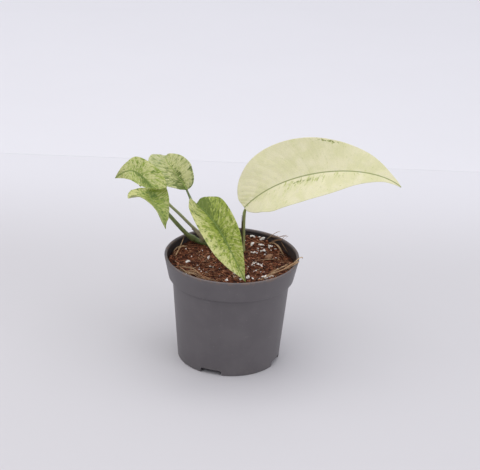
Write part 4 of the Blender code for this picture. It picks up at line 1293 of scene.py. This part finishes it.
def leaf_blade(key, seed):
    leaf, look = LEAVES[key], LEAF_LOOKS[key]
    rows, columns = LEAF_GRID.get(key, LEAF_GRID_SMALL)
    # Rows are closer near base and tip, columns near the midrib.
    even = np.linspace(0, 1, rows)
    share = 0.5 - 0.5 * np.cos(np.pi * even)
    share = 0.55 * share + 0.45 * even
    line = np.linspace(-1, 1, columns)
    line = np.sign(line) * np.abs(line) ** 1.25
    share, across = np.meshgrid(share, line, indexing="ij")
    points, from_rib = leaf_surface(leaf, share, across)
    along_rows = np.gradient(points, axis=0)
    along_columns = np.gradient(points, axis=1)
    normal = unit(np.cross(along_columns, along_rows))
    facing = leaf_frames(leaf, np.clip(share, 0, 1))[2]
    normal = normal * np.sign((normal * facing).sum(-1, keepdims=True) + 1e-9)
    out = np.abs(across)
    # Side veins sink a little and the blade swells between them; the margin waves.
    beat = np.abs(((share * look["veins"]) % 1.0) - 0.5) * 2
    fade = smoothstep(0.02, 0.15, out) * (1 - smoothstep(0.75, 1.0, out))
    fade = fade * (1 - smoothstep(0.85, 1.0, share))
    size = 1.0 if key == "e" else 0.7
    vein = -np.exp(-((1 - beat) / 0.16) ** 2) + 0.6 * np.cos(np.pi * beat)
    relief = vein * fade * VEIN_DEPTH[key]
    draw = random.Random(seed)
    for count, strength in MARGIN_WAVES:
        phase = draw.uniform(0, math.tau) + np.where(across > 0, 1.9, 0.0)
        swing = np.sin(count * math.tau * share + phase)
        relief = relief + strength * look["wave"] * swing * out ** 3 * np.sin(np.pi * share)
    middle = points + normal * (relief * MM)[..., None]
    # The blade is thickest at the midrib, which stands out below, and thins towards the margin.
    rib_width = (1.1 - 0.75 * share) * MM
    rib = np.exp(-(from_rib / rib_width) ** 2)
    half_thick = (0.26 - 0.14 * out ** 2) * MM
    keel = (0.75 - 0.55 * share) * MM * rib * smoothstep(0, 0.04, 1 - share)
    groove = 0.22 * MM * rib * (1 - share)
    upper = middle + normal * (half_thick - groove)[..., None]
    lower = middle - normal * (half_thick + keel * size)[..., None]
    verts = np.concatenate([upper.reshape(-1, 3), lower.reshape(-1, 3)])
    mesh = facing_out(new_mesh(f"leaf_{key}_mesh", verts, closed_sheet(rows, columns)))
    blade = np.stack([share, across, from_rib / MM], -1).reshape(-1, 3)
    note(mesh, "blade", np.concatenate([blade, blade]))
    green = patched(look["green"], look["patches"], share, across)
    deep = patched(look["dark"], look["deeps"], share, across)
    marks = np.stack([green, deep, np.zeros_like(green)], -1).reshape(-1, 3)
    below = marks.copy()
    below[:, 2] = 1.0
    note(mesh, "marks", np.concatenate([marks, below]))
    place("blade_" + key, mesh, leaf_finish(key), ["leaf_" + key])


# ---- Studio ----

FLOOR_REACH = 6.0
FLOOR_DEPTH = 0.43
PAPER_THICKNESS = 0.0003
FLOOR_TONE = (0.625, 0.61, 0.63)
SEAM_TONE = (0.755, 0.745, 0.78)
BACKDROP_TONE = (0.775, 0.765, 0.80)
CLOUD_TONE = (0.5, 0.48, 0.5)
WORLD_COLOUR = (0.93, 0.94, 1.0, 1.0)
WORLD_STRENGTH = 0.76
LIT_POINT = Vector((0.0, 0.0, 0.08))
# Each light: where it hangs, its two widths, its power in watts and its colour
LIGHTS = {
    "key_light": ((-0.7, -0.5, 1.7), (2.3, 1.9), 13.5, (1.0, 0.98, 0.95)),
    "fill_light": ((1.6, -1.0, 1.1), (1.4, 1.2), 7, (0.95, 0.97, 1.0)),
    "back_light": ((0.2, 0.6, 1.9), (2.0, 0.8), 6, (1.0, 1.0, 1.0)),
}
# The camera, as fitted to the pot's rim, collar and base
PITCH, ROLL = math.radians(24.272), math.radians(2.291)
DISTANCE = 1.849
LENS = 157.06
LOOKED_AT = Vector((6.481, 0.0, 117.325)) * MM
SENSOR_WIDTH = 36.0
CLIP_END = 50.0


def sheet_finish(name, near, far, fade_from, fade_to):
    """A matt pale sheet whose tone goes from near to far between two places along Y."""
    made = Finish(name, Specular_IOR_Level=0.25, Roughness=0.6)
    spot = made.place()
    colour = made.flecked(near, far, made.split(spot)[1], fade_from, fade_to)
    cloud = made.noise(spot, 6.0, 4.0, 0.6)
    return made.done(made.flecked(colour, CLOUD_TONE, cloud, *MIDDLING, 0.0, 0.03))


def studio():
    """A wide floor, and the paler sheet of the backdrop where it lies on the floor behind."""
    sheets = {
        "floor": (-FLOOR_REACH, FLOOR_DEPTH, 0.0,
                  sheet_finish("floor_finish", FLOOR_TONE, SEAM_TONE, 0.15, FLOOR_DEPTH)),
        "backdrop": (FLOOR_DEPTH, FLOOR_REACH, PAPER_THICKNESS,
                     sheet_finish("backdrop_finish", BACKDROP_TONE, BACKDROP_TONE, 0.0, 1.0)),
    }
    for name, (near, far, height, finish) in sheets.items():
        corners = [(x, y, height) for y in (near, far) for x in (-FLOOR_REACH, FLOOR_REACH)]
        mesh = new_mesh(name + "_mesh", corners, [(0, 1, 3, 2)])
        mesh.materials.append(finish)
        sheet = linked(name, mesh)


def area_light(name, where, size, energy, colour):
    data = bpy.data.lights.new(name, "AREA")
    data.shape = "RECTANGLE"
    data.size, data.size_y = size
    data.energy = energy
    data.color = colour
    lamp = linked(name, data)
    lamp.location = where
    lamp.rotation_euler = (LIT_POINT - Vector(where)).to_track_quat("-Z", "Y").to_euler()


def lights():
    world = bpy.data.worlds.new("studio")
    bpy.context.scene.world = world
    world.use_nodes = True
    background = world.node_tree.nodes["Background"]
    background.inputs["Color"].default_value = WORLD_COLOUR
    background.inputs["Strength"].default_value = WORLD_STRENGTH
    for name, settings in LIGHTS.items():
        area_light(name, *settings)


def camera():
    back = Vector((0.0, -math.cos(PITCH), math.sin(PITCH)))
    right = Vector((1.0, 0.0, 0.0))
    up = Vector((0.0, math.sin(PITCH), math.cos(PITCH)))
    side = right * math.cos(ROLL) + up * math.sin(ROLL)
    top = -right * math.sin(ROLL) + up * math.cos(ROLL)
    data = bpy.data.cameras.new("camera")
    data.lens = LENS
    data.sensor_width = SENSOR_WIDTH
    data.sensor_fit = "HORIZONTAL"
    data.clip_end = CLIP_END
    view = linked("camera", data)
    turn = Matrix((side, top, back)).transposed().to_4x4()
    view.matrix_world = Matrix.Translation(AXIS + LOOKED_AT + back * DISTANCE) @ turn
    bpy.context.scene.camera = view


def inner_finishes():
    """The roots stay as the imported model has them, with a finish of their own."""
    made = Finish("root_finish", Specular_IOR_Level=0.3)
    spot = made.place()
    bands = made.noise(made.stretched(spot, (1, 1, 0.35)), 520, 4.0, 0.65)
    colour = made.flecked((0.34, 0.24, 0.13), (0.66, 0.57, 0.40), bands, 0.35, 0.68)
    made.matt(colour, bands, (0.6, 0.85), bands, 0.0003)
    for name, node in NODES.items():
        if name.startswith("root_"):
            node.data.materials.clear()
            node.data.materials.append(made.material)


bpy.context.scene.view_settings.view_transform = "Standard"
camera()
lights()
studio()
nursery_pot()
soil_bed()
soil_crumbs()
soil_hairs()
perlite()
bark_chip()
coir()
main_stem()
petioles()
sheaths()
for number, leaf_key in enumerate(LEAVES):
    leaf_blade(leaf_key, 100 + number)
inner_finishes()
